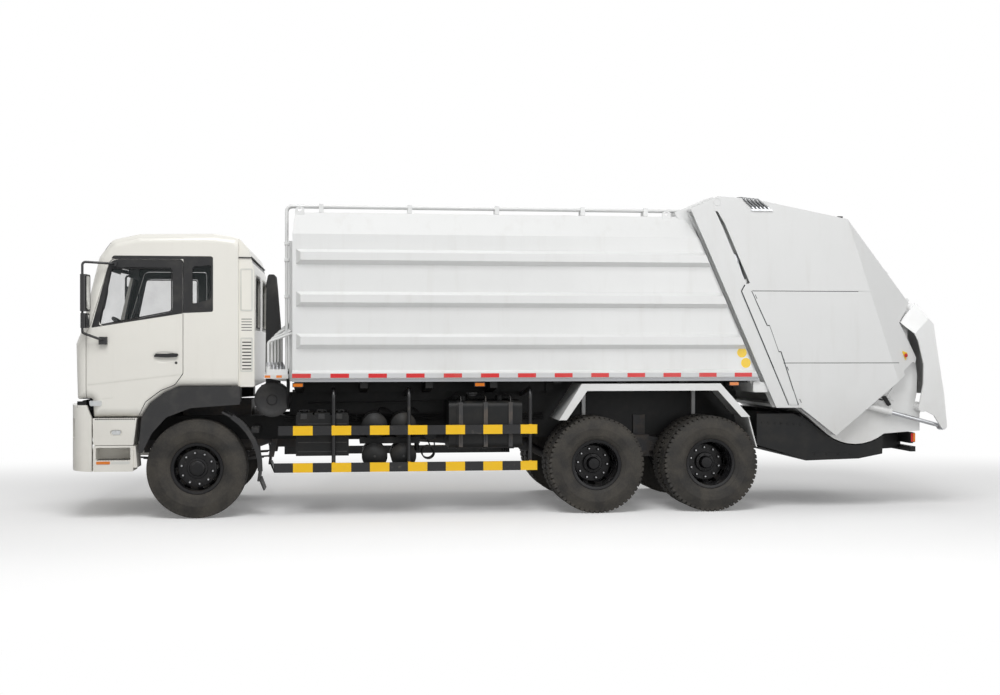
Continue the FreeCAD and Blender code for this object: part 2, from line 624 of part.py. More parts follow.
def body_floor():
    """Deck on cross bearers and two long sills that lie on the chassis rails."""
    inner = side_y - wall
    deck_end = slant(body_floor_z + deck, -portal_gap - portal_width)
    plate = box(body_front + 31, deck_end, -inner, inner, body_floor_z, body_floor_z + deck)
    plate = plate.fuse(box(body_front, body_front + 40, -inner, inner, body_floor_z, body_floor_z + deck))
    sills = both(box(body_front - 60, 6180, -frame_half, -frame_half + rail_width, frame_top, 1330))
    deep = front_prism([(-side_y, body_floor_z - 70), (-side_y, body_floor_z), (side_y, body_floor_z),
                        (side_y, body_floor_z - 70), (700, 1330), (-700, 1330)], 0, 80)
    shallow = fused(box(0, 80, -side_y, side_y, body_floor_z - 22, body_floor_z), box(0, 80, -600, 600, 1330, body_floor_z))
    bearers = []
    count = 8
    for k in range(count):
        x = body_front + 20 + k * (deck_end - body_front - 120) / (count - 1)
        bearer = (shallow if middle_x - 500 < x < rear_x + 400 else deep).copy()
        bearer.translate(Vector(x, 0, 0))
        bearers.append(bearer)
    guides = both(box(body_front + wall + 40, deck_end, -740, -680, body_floor_z + deck, body_floor_z + deck + 40))
    lamps = both(box(body_front + 6, body_front + 116, -side_y - 24, -side_y, 1413, 1450))
    for x in (2990.0, 5860.0):
        lamps += both(box(x, x + 110, -side_y - 24, -side_y, 1413, 1450))
    tabs = []
    for x in (body_front + 6, 2990.0, 5860.0):
        tabs += both(box(x + 20, x + 90, -side_y, -side_y + 130, 1420, body_floor_z))
    return fused(plate, *sills, *bearers, *guides, *tabs, *lamps)


def body_rear_frame():
    """Slanted portal that closes the body's rear and carries the tailgate hinge ears."""
    low, high = body_floor_z - 135.0, body_top + portal_rise
    behind, ahead = -portal_gap, -portal_gap - portal_width
    outline = [(slant(low, ahead), low), (slant(low, behind), low), (slant(high, behind), high), (slant(high, ahead), high)]
    outer_y = side_y - wall
    block = side_prism(outline, -outer_y, outer_y)
    chamfer = front_prism([(-outer_y, shoulder_z - 18 - seat_gap), (-roof_edge_y, body_top - wall - seat_gap), (-roof_edge_y, high + 5),
                           (-outer_y, high + 5)], slant(high) - 400, slant(low) + 100)
    block = block.cut(chamfer).cut(mirrored(chamfer))
    mouth = side_prism([(slant(1520, ahead) - 200, body_floor_z + deck), (slant(1520) + 200, body_floor_z + deck),
                        (slant(3200) + 300, body_top - 110), (slant(3200) - 400, body_top - 110)], -portal_y, portal_y)
    block = block.cut(mouth).cut(body_roof())
    pin = rod((pivot_x, -roof_edge_y + 20, pivot_z), (pivot_x, -gate_wall_y - 6, pivot_z), hinge_pin)
    bx, bz = lift_base
    foot_ear = [side_prism([(slant(1330, behind) - 90, 1335), (slant(1330, behind), 1335), (bx + 45, bz - 30), (bx + 45, bz + 30),
                            (bx - 22, bz + 38), (slant(1455, behind) - 90, 1455)], y - 12, y)
                for y in (lift_y - 32, lift_y + 44)]
    cleat = box(slant(1455, ahead) + 20, slant(1455, behind) - 20, lift_y - 44, -outer_y, 1340, 1450)
    stub = rod((bx, lift_y + 44, bz), (bx, lift_y - 44, bz), ram_pin)
    parts = both(hinge_ear()) + both(pin) + both(fused(*foot_ear, cleat, stub))
    return fused(block, *parts)


def hydraulic_pipes():
    """Valve platform behind the cab with its bent pipes, and three pipes clipped along the roof."""
    back = body_front - rib_depth - seat_gap
    out = -side_y + 70
    platform = box(706, back, out, out + 480, 1500, 1545)
    gussets = [side_prism([(740, 1501), (back, 1501), (back, body_floor_z + 2), (900, body_floor_z + 2)], y, y + 30)
               for y in (out + 190, out + 220)]
    pipes = []
    for k in range(5):
        y = out + 60 + 75.0 * k
        top = 1900 + 34.0 * k
        wall_x = body_front - 9 - (rib_depth if k == 2 else 0)
        pipes.append(tube_path([(750 + 32 * k, y, 1540), (750 + 32 * k, y, top), (wall_x, y, top + 90)], 15.0, 45.0))
        pipes.append(rod((750 + 32 * k, y, 1540), (750 + 32 * k, y, 1640), 24.0))
    block = box(735, 960, out + 35, out + 390, 1545, 1600)
    riser_x = body_front - 70
    lines = []
    rail_z = body_top + 72.0
    end_x = slant(rail_z) - 60
    first = -roof_edge_y + 45
    for y in (first, first + 48, first + 96):
        lines.append(tube_path([(riser_x, y, 1545), (riser_x, y, rail_z), (end_x, y, rail_z)], 17.0, 60.0))
    clips = [box(riser_x - 24, back, first - 24, first + 130, z, z + 30) for z in (1980, 2380, 2780, 2960)]
    posts = []
    for x in (1320.0, 2290.0, 3260.0, 4230.0, 4950.0):
        posts.append(box(x - 25, x + 25, first - 26, first + 120, rail_z - 22, rail_z + 22))
        for y in (first - 26, first + 70):
            posts.append(box(x - 25, x + 25, y, y + 50, roof_z(y + 50) + seat_gap, rail_z - 20))
    return fused(platform, *gussets, block, *pipes, *lines, *clips, *posts)


def lifting_eyes():
    eyes = []
    for x in (body_front + 75, 5180.0):
        plate = side_prism([(x - 50, body_top - 40), (x + 50, body_top - 40), (x + 50, body_top + 60), (x - 50, body_top + 60)],
                           -roof_edge_y - 20, -roof_edge_y, [0, 0, 40, 40])
        eyes.append(plate.cut(rod((x, -roof_edge_y - 30, body_top + eye_rise), (x, -roof_edge_y + 30, body_top + eye_rise), eye_bore)))
    return eyes


def ejector():
    """Slanted push plate on shoes that ride the deck guides."""
    deck_z = body_floor_z + deck
    shoe_z = deck_z + 40 + seat_gap
    front, foot = 1180.0, 2060.0
    face_low, face_high = shoe_z + 30, body_top - wall - 60
    lean = (face_high - face_low) * slant_run
    plate = side_prism([(foot - 70, face_low), (foot, face_low), (foot - lean, face_high), (foot - lean - 70, face_high)],
                       -roof_edge_y - 10, roof_edge_y + 10)
    shoes = both(box(front, foot, -750, -670, shoe_z, shoe_z + 50))
    props = both(side_prism([(front + 60, shoe_z + 40), (front + 160, shoe_z + 40), (foot - lean * 0.72, face_low + 1180),
                             (foot - lean * 0.72 - 110, face_low + 1180)], -745, -675))
    ribs = [side_prism([(foot - 150, face_low + 10), (foot - 60, face_low + 10), (foot - lean - 60, face_high - 10),
                        (foot - lean - 150, face_high - 10)], y - 30, y + 30) for y in (-380, 380)]
    return fused(plate, *shoes, *props, *ribs)


# Tailgate

def floor_line(radius):
    """Outline of the hopper floor at a radius from the trough's axis: ramp, trough and lip."""
    lead = math.radians(-90 - floor_slope)
    top = (6684.0, slant_z)
    tangent = (trough_x + radius * math.cos(lead), trough_z + radius * math.sin(lead))
    climb = top[1] - tangent[1] + (trough_radius - radius) * 1.2
    start = (tangent[0] - climb / math.tan(math.radians(floor_slope)), tangent[1] + climb)
    stop = math.radians(-52)
    arc = [(trough_x + radius * math.cos(a), trough_z + radius * math.sin(a))
           for a in [lead + (stop - lead) * k / 8 for k in range(9)]]
    return start, arc


def gate_wall_outline():
    arc = floor_line(trough_radius)[1]
    return [(slant(3387), 3387.0), gate_top[0], gate_top[1], gate_top[2], gate_rear_top, (8000, 1905), (8090, 1720), (8118, 1530),
            (8112, 1302), (8094, 1216), (8142, 1212), (8172, 1172), (8166, 1110), (lip_x, 1080), (lip_x, lip_bottom)] + arc[::-1] + [
            (6684.0, slant_z), (slant_x, slant_z)]


def along(s, d):
    """Offset s down the slant and d behind it."""
    length = math.hypot(slant_run, 1.0)
    ux, uz = slant_run / length, -1.0 / length
    return ux * s - uz * d, uz * s + ux * d


def packer_at(s, d):
    """Point s down the slant and d behind it from the packer's raised pin."""
    up = along(-packer_travel, 0.0)
    dx, dz = along(s, d)
    return trough_x + up[0] + dx, trough_z + up[1] + dz


def gate_wall_plate():
    """Left structural wall of the hopper, with its hinge boss and the pins it carries."""
    plate = side_prism(gate_wall_outline(), -gate_wall_y, -gate_wall_y + gate_wall)
    hole = rod((pivot_x, -gate_wall_y - 60, pivot_z), (pivot_x, -gate_wall_y + gate_wall + 1, pivot_z), hinge_pin + pin_gap)
    boss = rod((pivot_x, -gate_wall_y - 20, pivot_z), (pivot_x, -gate_wall_y, pivot_z), 58.0)
    pin = rod((bucket_x, -gate_wall_y + 5, bucket_z), (bucket_x, -half_width, bucket_z), bucket_pin)
    base_x, base_z = bucket_base()
    base_pin = rod((base_x, -gate_wall_y + 5, base_z), (base_x, -gate_wall_y - 106, base_z), ram_pin)
    pad = rod((bucket_x, -gate_wall_y, bucket_z), (bucket_x, -gate_wall_y - 118, bucket_z), 46.0)
    lift_pin = rod((lift_eye[0], -gate_wall_y + 5, lift_eye[1]), (lift_eye[0], lift_y + stub_reach + stub_gap, lift_eye[1]), ram_pin)
    rails = [side_prism([packer_at(-1070, d), packer_at(560, d), packer_at(560, d + 30), packer_at(-1070, d + 30)],
                        -gate_wall_y + gate_wall - 1, -gate_wall_y + gate_wall + 32) for d in (-68, 38)]
    return fused(plate, boss, pin, base_pin, pad, lift_pin, *rails).cut(hole)


def skin_outline(inset):
    """Outer panel's side view; the lower rear is cut away on a diagonal."""
    points = [(slant(3387), 3387.0), gate_top[0], gate_top[1], gate_top[2], gate_rear_top, (7868, 2121), (8000, 1880),
              (8080, 1720), (8062, 1636), (7096, 840), (6684.0, slant_z), (slant_x, slant_z)]
    wire = rounded_wire(points, 0.0, lambda a, b: Vector(a, 0, b))
    return wire if not inset else wire.makeOffset2D(-inset, 2)


def skin_bevel(inset):
    """Half space outside the facet that folds the panel in towards the rear."""
    a = Vector(gate_top[2][0], -skin_y, gate_top[2][1])
    b = Vector(7820, -skin_y, 1500)
    c = Vector(gate_rear_top[0], -gate_wall_y - 30, gate_rear_top[1])
    normal = (b - a).cross(c - a).normalize()
    if normal.y > 0:
        normal = normal * -1
    slab = Part.makeBox(6000, 6000, 900)
    slab.Placement = FreeCAD.Placement(a - normal * inset, FreeCAD.Rotation(Vector(0, 0, 1), normal))
    centred = slab.Placement.Rotation.multVec(Vector(-3000, -3000, 0))
    slab.translate(centred)
    return slab


def gate_skin():
    """Boxed outer panel of the tailgate: open towards the wall, and at its front for the lift ram."""
    depth = skin_y - gate_wall_y
    outer = Part.Face(skin_outline(0)).extrude(Vector(0, depth, 0))
    outer.translate(Vector(0, -skin_y, 0))
    outer = outer.cut(skin_bevel(0))
    hollow = Part.Face(skin_outline(skin)).extrude(Vector(0, depth, 0))
    hollow.translate(Vector(0, -skin_y + skin, 0))
    hollow = hollow.cut(skin_bevel(skin))
    shell = outer.cut(hollow)
    ram_y = -skin_y + 30
    door = side_prism([(slant(3360) - 60, 3360), (slant(3360) + 60, 3360), (slant(1180) + 60, 1180), (slant(1180) - 60, 1180)],
                      ram_y, -gate_wall_y + 1)
    foot = box(6300, 6600, ram_y, -gate_wall_y + 1, slant_z - 5, slant_z + skin + 5)
    slot = side_prism([(5690, 3362), (5718, 3362), (5800, 3225), (6092, 2560), (6050, 2548), (5762, 3215)],
                      -skin_y - 5, -skin_y + skin + 5)
    open_edge = side_prism([(7060, 872), (8030, 1671), (8130, 1640), (7160, 800)], -skin_y + skin, -gate_wall_y + 1)
    shell = shell.cut(open_edge)
    cover_rise = 12.0
    strip = side_prism([(6030, 2540), (6078, 2528), (6655, 1195), (6548, 1195), (5990, 2460)], -skin_y - cover_rise, -skin_y + 2)
    line = side_prism([(6120, 2476), (8000, 2476), (8000, 2468), (6120, 2468)], -skin_y - 1, -skin_y + 5)
    seam = side_prism([(6480, 1666), (7900, 1666), (7900, 1658), (6480, 1658)], -skin_y - 1, -skin_y + 5)
    clear = rod((pivot_x, -gate_wall_y - 21, pivot_z), (pivot_x, -gate_wall_y, pivot_z), 60.0)
    shell = fused(shell.cut(door).cut(foot).cut(slot), strip).cut(line).cut(seam).cut(clear)
    return shell


def gate_cover():
    """Roof and sloping back of the tailgate, folded from one sheet, with stiffening ribs."""
    line = [gate_top[0], gate_top[1], gate_top[2], gate_rear_top]
    inner = [(x - 26, z - cover_thick) for x, z in line]
    inner[-1] = (line[-1][0] - 46, line[-1][1] - 8)
    half = gate_wall_y - gate_wall
    start = pivot_x + 150
    shape = side_prism([(start, 3529 - (start - 5717) * 0.0609), gate_top[1], gate_top[2], gate_rear_top, inner[3],
                        (gate_top[2][0] - 22, gate_top[2][1] - cover_thick), (gate_top[1][0], gate_top[1][1] - cover_thick),
                        (start, 3529 - (start - 5717) * 0.0609 - cover_thick)], -half, half)
    ribs = []
    fall = (gate_rear_top[0] - gate_top[2][0], gate_rear_top[1] - gate_top[2][1])
    length = math.hypot(*fall)
    ux, uz = fall[0] / length, fall[1] / length
    for share in (0.33, 0.645, 0.97):
        cx, cz = gate_top[2][0] + fall[0] * share, gate_top[2][1] + fall[1] * share
        ribs.append(side_prism([(cx - ux * 22, cz - uz * 22), (cx + ux * 22, cz + uz * 22),
                                (cx + ux * 22 - uz * 26, cz + uz * 22 + ux * 26),
                                (cx - ux * 22 - uz * 26, cz - uz * 22 + ux * 26)], -gate_wall_y - 20, gate_wall_y + 20))
    lid = side_prism([(5432, 3384), (5705, 3500), (start + 20, 3500), (start + 20, 3512), (5700, 3519), (5427, 3401)],
                     -roof_edge_y + 28, roof_edge_y - 28)
    return fused(shape, lid, *ribs)


def hopper_trough():
    """Folded floor of the hopper between its walls: ramp, round trough and lip."""
    half = gate_wall_y - gate_wall
    outer = floor_line(trough_radius)[1]
    inner = floor_line(trough_radius - trough_wall)[1]
    section = [(slant_x + 5, slant_z), (6684.0, slant_z)] + outer + [(lip_x - 60, lip_bottom + 30), (lip_x, lip_bottom + 30),
               (lip_x, lip_top), (lip_x - 40, lip_top)] + inner[::-1] + [(6692, slant_z + 34), (slant_x + 5, slant_z + 34)]
    top = (slant(1500) + 5, 1500.0)
    ramp = side_prism([top, (top[0] + 40, 1500), (inner[0][0] + 14, inner[0][1] - 2), (inner[0][0] - 6, inner[0][1] - 20)],
                      -half, half)
    return fused(side_prism(section, -half, half), ramp)


def carriage():
    """Packer slide: a boxed plate on side runners, in its raised place."""
    at = packer_at
    px, pz = packer_at(0, 0)
    half_t = carriage_thick / 2
    plate = side_prism([at(-carriage_length, -half_t), at(-blade_boss - 10, -half_t), at(-blade_boss - 10, half_t),
                        at(-carriage_length, half_t)], -packer_half + 30, packer_half - 30)
    beams = [side_prism([at(-s, -half_t - 60), at(-s + 120, -half_t - 60), at(-s + 120, -half_t + 1), at(-s, -half_t + 1)],
                        -packer_half + 60, packer_half - 60) for s in (carriage_length, 600.0)]
    cheeks = []
    for y in (-packer_half + 30, -380.0, 380.0 - 60.0, packer_half - 90):
        cheek = side_prism([at(-260, -half_t), at(-260, half_t), at(0, 58), at(42, 42), at(58, 0), at(42, -42), at(0, -58)], y, y + 60)
        cheeks.append(cheek)
    pin = rod((px, -packer_half + 30, pz), (px, packer_half - 30, pz), 30.0)
    runners = both(side_prism([at(-carriage_length + 40, -30), at(-280, -30), at(-280, 30), at(-carriage_length + 40, 30)],
                              -gate_wall_y + gate_wall + seat_gap, -packer_half + 31))
    return fused(plate, *beams, *cheeks, pin, *runners)


def blade():
    """Sweep blade hung on the slide's pin: three hub tubes, a curved plate and its edge."""
    px, pz = packer_at(0, 0)
    reach = trough_radius - trough_wall - blade_clear
    def at(a, b):
        """a out from the pin along the closed blade, b behind it."""
        lean = math.radians(-112)
        c, s = math.cos(lean), math.sin(lean)
        return px + a * c - b * s, pz + a * s + b * c
    body = side_prism([at(70, -30), at(250, -80), at(reach - 20, -40), at(reach, 0), at(reach - 40, 16), at(260, 0), at(70, 40)],
                      -packer_half + 100, packer_half - 100)
    hubs = []
    for y0, y1 in ((-packer_half + 95, -385), (-315, 315), (385, packer_half - 95)):
        hubs.append(rod((px, y0, pz), (px, y1, pz), blade_boss))
        hubs.append(side_prism([at(0, -45), at(150, -45), at(150, 40), at(0, 45)], y0, y1))
    whole = fused(body, *hubs)
    whole = whole.cut(rod((px, -packer_half, pz), (px, packer_half, pz), 30.0 + pin_gap))
    for y in (-380.0, 380.0 - 60.0):
        whole = whole.cut(side_prism([at(-200, -90), at(100, -90), at(100, 90), at(-200, 90)], y - 5, y + 65))
    return whole


def bucket_outline():
    points = [(7892, 2128), (8085, 2352), (8190, 2166), (8249, 2103), (8300, 1760), (8374, 1306), (rear_reach, 932),
              (8385, 900), (8338, 928), (8255, 1062), (8172, 1104), (8080, 1140), (8080, 1190), (8128, 1420), (8132, 1645),
              (8070, 1905), (8024, 1995)]
    return points


def bucket_base():
    """Where each bucket ram's base pin sits, in line with its extended rod."""
    length, fall = 1266.0, math.radians(-14.8)
    return rod_eye[0] - length * math.cos(fall), rod_eye[1] - length * math.sin(fall)


def loading_bucket():
    """Scoop hinged on the hopper lip, drawn raised: side plates, back sheet and a bevelled crown."""
    outline = bucket_outline()
    y = half_width
    side = side_prism(outline, -y, -y + bucket_plate, 0)
    crown_out = [(7892, 2128), (8085, 2352), (8190, 2166), (8249, 2103), (8300, 1760), (8352, 1440), (8326, 1300)]
    crown_in = [(8300, 1300), (8325, 1440), (8274, 1756), (8226, 2090), (8168, 2146), (8076, 2310), (7912, 2110)]
    sheet = side_prism(crown_out + crown_in, -y, y)
    sheet = sheet.cut(box(7800, 8011, -gate_wall_y - 5, gate_wall_y + 5, 2000, 2400))
    whole = fused(side, mirrored(side), sheet)
    a, b, c = Vector(8024, -y, 1995), Vector(8190, -y, 2166), Vector(8085, -gate_wall_y - 30, 2352)
    normal = (b - a).cross(c - a).normalize()
    if normal.y > 0:
        normal = normal * -1
    def slab(inset, depth):
        s = Part.makeBox(3000, 3000, depth)
        s.Placement = FreeCAD.Placement(a - normal * inset, FreeCAD.Rotation(Vector(0, 0, 1), normal))
        s.translate(s.Placement.Rotation.multVec(Vector(-1500, -1500, 0)))
        return s
    facet_zone = side_prism([(7892, 2128), (8085, 2352), (8190, 2166), (8024, 1995)], -y, -gate_wall_y - 20)
    facet = facet_zone.common(slab(bucket_plate, bucket_plate))
    outside = slab(0, 900)
    whole = whole.cut(outside).cut(mirrored(outside))
    whole = fused(whole, facet, mirrored(facet))
    hole = rod((bucket_x, -y - 1, bucket_z), (bucket_x, y + 1, bucket_z), bucket_pin + pin_gap)
    ring = rod((bucket_x, -y, bucket_z), (bucket_x, -y + bucket_plate, bucket_z), 52.0)
    stiffeners = [side_prism([(8130, 2160), (8180, 2110), (8230, 1752), (8270, 1440), (8330, 1440), (8240, 2100), (8170, 2160)],
                             yy - 12, yy + 12) for yy in (-600, 0, 600)]
    pin = rod((rod_eye[0], -y + 5, rod_eye[1]), (rod_eye[0], bucket_ram_y - stub_reach - stub_gap, rod_eye[1]), ram_pin)
    whole = fused(whole, ring, mirrored(ring), pin, mirrored(pin), *stiffeners)
    return whole.cut(hole)


def ram(base, end, barrel_radius, rod_radius, barrel_length, rod_length, y):
    """A hydraulic ram from its base pin to its rod eye. Returns barrel and rod solids."""
    eye = ram_pin + 8
    foot = eye + 30
    b, e = Vector(base[0], y, base[1]), Vector(end[0], y, end[1])
    line = (e - b).normalize()
    barrel = Part.makeCylinder(barrel_radius, barrel_length - foot, b + line * foot, line)
    gland = Part.makeCylinder(barrel_radius + 6, 40.0, b + line * (barrel_length - 40), line)
    base_eye = rod((base[0], y - 30, base[1]), (base[0], y + 30, base[1]), eye + 14)
    neck = Part.makeCylinder(barrel_radius * 0.7, foot + 6, b, line)
    body = fused(barrel, gland, base_eye, neck)
    start = (e - b).Length - rod_length
    bore = Part.makeCylinder(rod_radius + pin_gap, barrel_length, b + line * (foot + 10), line)
    body = body.cut(bore).cut(rod((base[0], y - 40, base[1]), (base[0], y + 40, base[1]), ram_pin + pin_gap))
    shaft = Part.makeCylinder(rod_radius, rod_length, b + line * start, line)
    tip = rod((end[0], y - 28, end[1]), (end[0], y + 28, end[1]), eye + 14)
    pin = rod((end[0], y - stub_reach, end[1]), (end[0], y + stub_reach, end[1]), ram_pin)
    return body, fused(shaft, tip, pin)


# Cab

def bow(y):
    """How far the bumper falls back at a distance y from the middle."""
    return y ** 2 / (2 * nose_bow)


def cab_profile(inset):
    """Side view of the cab at its corners: upright nose, raked windscreen, stepped roof, arched sill."""
    points = [(-1239, 1290), (-1255, 1880), (-1212, 1985), (-1015, 2800), (-880, 2985), (-600, 3050), (180, 3062),
              (430, 3030), (cab_back - 60, 2900), (cab_back, 2650), (cab_back, 1411), (-180, 1411), (-330, 1340),
              (-470, 1230), (-560, sill_z), (-1075, sill_z), (-1088, 1290)]
    radii = [20, 60, 60, 120, 120, 160, 200, 120, 90, 60, 20, 60, 60, 60, 20, 20, 20]
    wire = rounded_wire(points, radii, lambda a, b: Vector(a, 0, b))
    return wire if not inset else wire.makeOffset2D(-inset)


def cab_bulge(inset):
    """The bowed middle of the nose and windscreen, proud of the corners and sunk in them at its ends."""
    edge = cab_half - cab_corner - 5
    meet = cab_half - 235
    wires = []
    for y in (-edge, 0.0, edge):
        share = 1 - (y / meet) ** 2
        points = [(-1239 - 107 * share, 1290), (-1255 - 107 * share, 1880), (-1212 - 107 * share, 1985),
                  (-1015 - 50 * share, 2800), (-880 - 30 * share, 2985), (-700, 3000), (-700, 2600), (-1000, 1290)]
        wire = rounded_wire(points, [20, 60, 60, 120, 120, 0, 0, 0], lambda a, b: Vector(a, y, b))
        wires.append(wire.makeOffset2D(-inset) if inset else wire)
    return Part.makeLoft(wires, True, False)


def cab_solid(inset):
    """The cab's outer form, or the same form shrunk by inset, with its long edges rounded."""
    half = cab_half - inset
    solid = Part.Face(cab_profile(inset)).extrude(Vector(0, 2 * half, 0))
    solid.translate(Vector(0, -half, 0))
    edges = []
    for edge in solid.Edges:
        middle = edge.valueAt((edge.FirstParameter + edge.LastParameter) / 2)
        flat = abs(abs(middle.y) - half) < 1e-3
        upper = middle.z > 1300 and middle.x < cab_back - inset - 1
        if flat and upper and not (middle.z < 1500 and middle.x > -1207):
            edges.append(edge)
    return fused(solid.makeFillet(cab_corner - inset, edges), cab_bulge(inset))


def bowed_plan(front, half, z0, z1, inset=0.0):
    """A block whose front, seen from above, is bowed and has round corners."""
    side = [(front + bow(y), y) for y in (half, half * 0.667, half * 0.333)]
    points = [(0.0, half)] + side + [(x, -y) for x, y in reversed(side)] + [(0.0, -half)]
    wire = rounded_wire(points, [0, 150, 2400, 2400, 2400, 2400, 150, 0], lambda a, b: Vector(a, b, z0))
    if inset:
        wire = wire.makeOffset2D(-inset)
    return Part.Face(wire).extrude(Vector(0, 0, z1 - z0))


def door_outline(grow):
    """The left door's side view; grow widens it by that much."""
    g = grow
    return [(door_front - g, 1296 - g), (-1072 - g, sill_z - 20 - g), (-618 + g * 0.5, sill_z - 20 - g), (-530 + g, 1262 - g),
            (-372 + g, 1382 - g), (-225 + g, 1442 - g), (door_rear + g, 1560 - g), (door_rear + g, door_top + g),
            (-884 - g, door_top + g), (-1092 - g, 2070), (door_front - g, 1990)]


def cab():
    """Shell, doors and panes, cut from the one form so that they meet as the real panels do."""
    outer, inner = cab_solid(0), cab_solid(cab_wall)
    shell = outer.cut(inner)
    step = plan_prism([(shoulder_x, -cab_half - 1), (shoulder_x, -cab_half + shoulder_step), (cab_back + 1, -cab_half + shoulder_step),
                       (cab_back + 1, -cab_half - 1)], 1300, 3100)
    inner_step = box(shoulder_x - cab_wall, cab_back + 1, -cab_half + cab_wall, -cab_half + shoulder_step + cab_wall, 1300, 3100)
    shell = fused(shell, outer.common(inner_step), mirrored(outer.common(inner_step)))
    shell = shell.cut(step).cut(mirrored(step))
    leaf_band = cab_half - cab_wall
    door_hole = side_prism(door_outline(panel_gap), -cab_half - 5, -leaf_band + 4, [8, 8, 30, 60, 80, 80, 40, 40, 70, 40, 8])
    door_form = side_prism(door_outline(0), -cab_half - 5, -leaf_band + 4, [8, 8, 30, 60, 80, 80, 40, 40, 70, 40, 8])
    leaf = outer.cut(inner).common(door_form)
    window = [(-1012, 2062), (-243, 2215), (-243, 2690), (-880, 2690)]
    window_cut = side_prism(window, -cab_half - 5, -leaf_band + 6, [40, 40, 40, 60])
    pane = side_prism(window, -cab_half + 22, -cab_half + 22 + glass, [40, 40, 40, 60], seat_gap)
    leaf = leaf.cut(window_cut).Solids[0]
    shell = shell.cut(door_hole).cut(mirrored(door_hole))
    quarter = [(-40, 2300), (158, 2350), (158, 2720), (-40, 2700)]
    quarter_cut = side_prism(quarter, -cab_half - 5, -leaf_band + 6, 30)
    quarter_pane = side_prism(quarter, -cab_half + 22, -cab_half + 22 + glass, 30, seat_gap)
    wide, narrow = cab_half - 155, cab_half - 205
    screen = [(-wide, 2040), (wide, 2040), (narrow, 2775), (-narrow, 2775)]
    screen_cut = front_prism(screen, -1500, -850, 90)
    screen_pane = cab_solid(18).cut(cab_solid(18 + glass)).common(front_prism(screen, -1500, -850, 90, seat_gap))
    back_windows, back_panes = [], []
    for sign in (-1, 1):
        near, far = sorted((sign * 240, sign * 940))
        rear = [(near, 2060), (far, 2060), (far, 2600), (near, 2600)]
        back_windows.append(front_prism(rear, cab_back - 90, cab_back + 5, 50))
        back_panes.append(front_prism(rear, cab_back - 30, cab_back - 30 + glass, 50, seat_gap))
    half = grille_half
    grille_hole = front_prism([(-half, 1330), (half, 1330), (half + 20, 1820), (-half - 20, 1820)], -1500, -1200, 40)
    grille_floor = cab_solid(34)
    recess = grille_hole.cut(grille_floor)
    shell = shell.cut(quarter_cut).cut(mirrored(quarter_cut)).cut(screen_cut).cut(recess)
    for cut in back_windows:
        shell = shell.cut(cut)
    panes = [screen_pane, quarter_pane, mirrored(quarter_pane)] + back_panes
    shell = max(shell.Solids, key=lambda s: s.Volume)
    lug = side_prism([(tilt_x - 24, tilt_z + 6), (tilt_x - 10, tilt_z + 28), (-1066, 1265), (-1066, 1170), (tilt_x + 6, tilt_z - 26),
                      (tilt_x - 20, tilt_z - 18)], -frame_half - 34, -frame_half - 8, [16, 16, 0, 0, 16, 16])
    lug = lug.cut(rod((tilt_x, -frame_half, tilt_z), (tilt_x, -frame_half - 60, tilt_z), tilt_pin + pin_gap))
    shell = fused(shell, lug, mirrored(lug))
    return shell, leaf, pane, panes


def grille():
    """Five bars between two uprights, set in the recess of the nose."""
    band = cab_solid(6).cut(cab_solid(34 - seat_gap))
    half = grille_half - 10
    frame = front_prism([(-half, 1340), (half, 1340), (half + 18, 1810), (-half - 18, 1810)], -1500, -1200, 36)
    gaps = []
    for k in range(5):
        z = 1372 + 86.0 * k
        gaps.append(box(-1500, -1200, 50 - half, -28, z, z + 46))
        gaps.append(box(-1500, -1200, 28, half - 50, z, z + 46))
    gaps = Part.makeCompound(gaps).cut(cab_solid(22))
    return band.common(frame).cut(gaps)


def door_fittings():
    """Pull handle on the door skin and the mirror on its two-arm bracket."""
    y = -cab_half
    handle = box(-420, -235, y - 28, y - 14, 1742, 1772)
    feet = [box(x, x + 26, y - 16, y + 3, 1746, 1768) for x in (-412, -269)]
    arm = tube_path([(-852, y + 2, 2722), (-852, y - 60, 2722), (-1150, y - 135, 2735), (-1150, y - 135, 1990),
                     (-960, y - 55, 1915), (-960, y + 2, 1915)], 13.0, 34.0)
    mount = box(-1000, -915, y - 50, y + 3, 1868, 1950)
    upper = box(-880, -820, y - 34, y + 6, 2700, 2742)
    head = plan_prism([(-1154, y - 245), (-1112, y - 250), (-1090, y - 235), (-1082, y - 70), (-1100, y - 55), (-1154, y - 60)],
                      2215, 2600, 12)
    wide = plan_prism([(-1154, y - 225), (-1112, y - 230), (-1095, y - 215), (-1090, y - 85), (-1105, y - 75), (-1154, y - 80)],
                      2040, 2195, 12)
    return fused(handle, *feet), fused(arm, mount, upper, head, wide)


def cab_arches(shell):
    """Black wheel-arch trims that close against the cab's arched sill."""
    outer = [(-598, 790), (-568, 1094), (-484, 1240), (-340, 1350), (-184, 1420), (458, 1420), (458, 1225), (-58, 1190),
             (-314, 1092), (-465, 920), (-560, 720), (-598, 712)]
    trim = side_prism(outer, -cab_half + 4, -cab_half + 50, [8, 20, 60, 60, 60, 0, 0, 90, 90, 90, 8, 8])
    inner_lip = side_prism(outer, -cab_half + 50, -930, [8, 20, 60, 60, 60, 0, 0, 90, 90, 90, 8, 8])
    hollow = side_prism([(-640, 740), (-560 - 60, 1074), (-484, 1246), (-338, 1360), (-180, 1440), (500, 1440), (500, 1256),
                         (-66, 1220), (-336, 1114), (-490, 934), (-584, 740)], -cab_half + 49, -929, 0)
    arch = fused(trim, inner_lip.common(hollow)).cut(shell)
    return max(arch.Solids, key=lambda s: s.Volume)


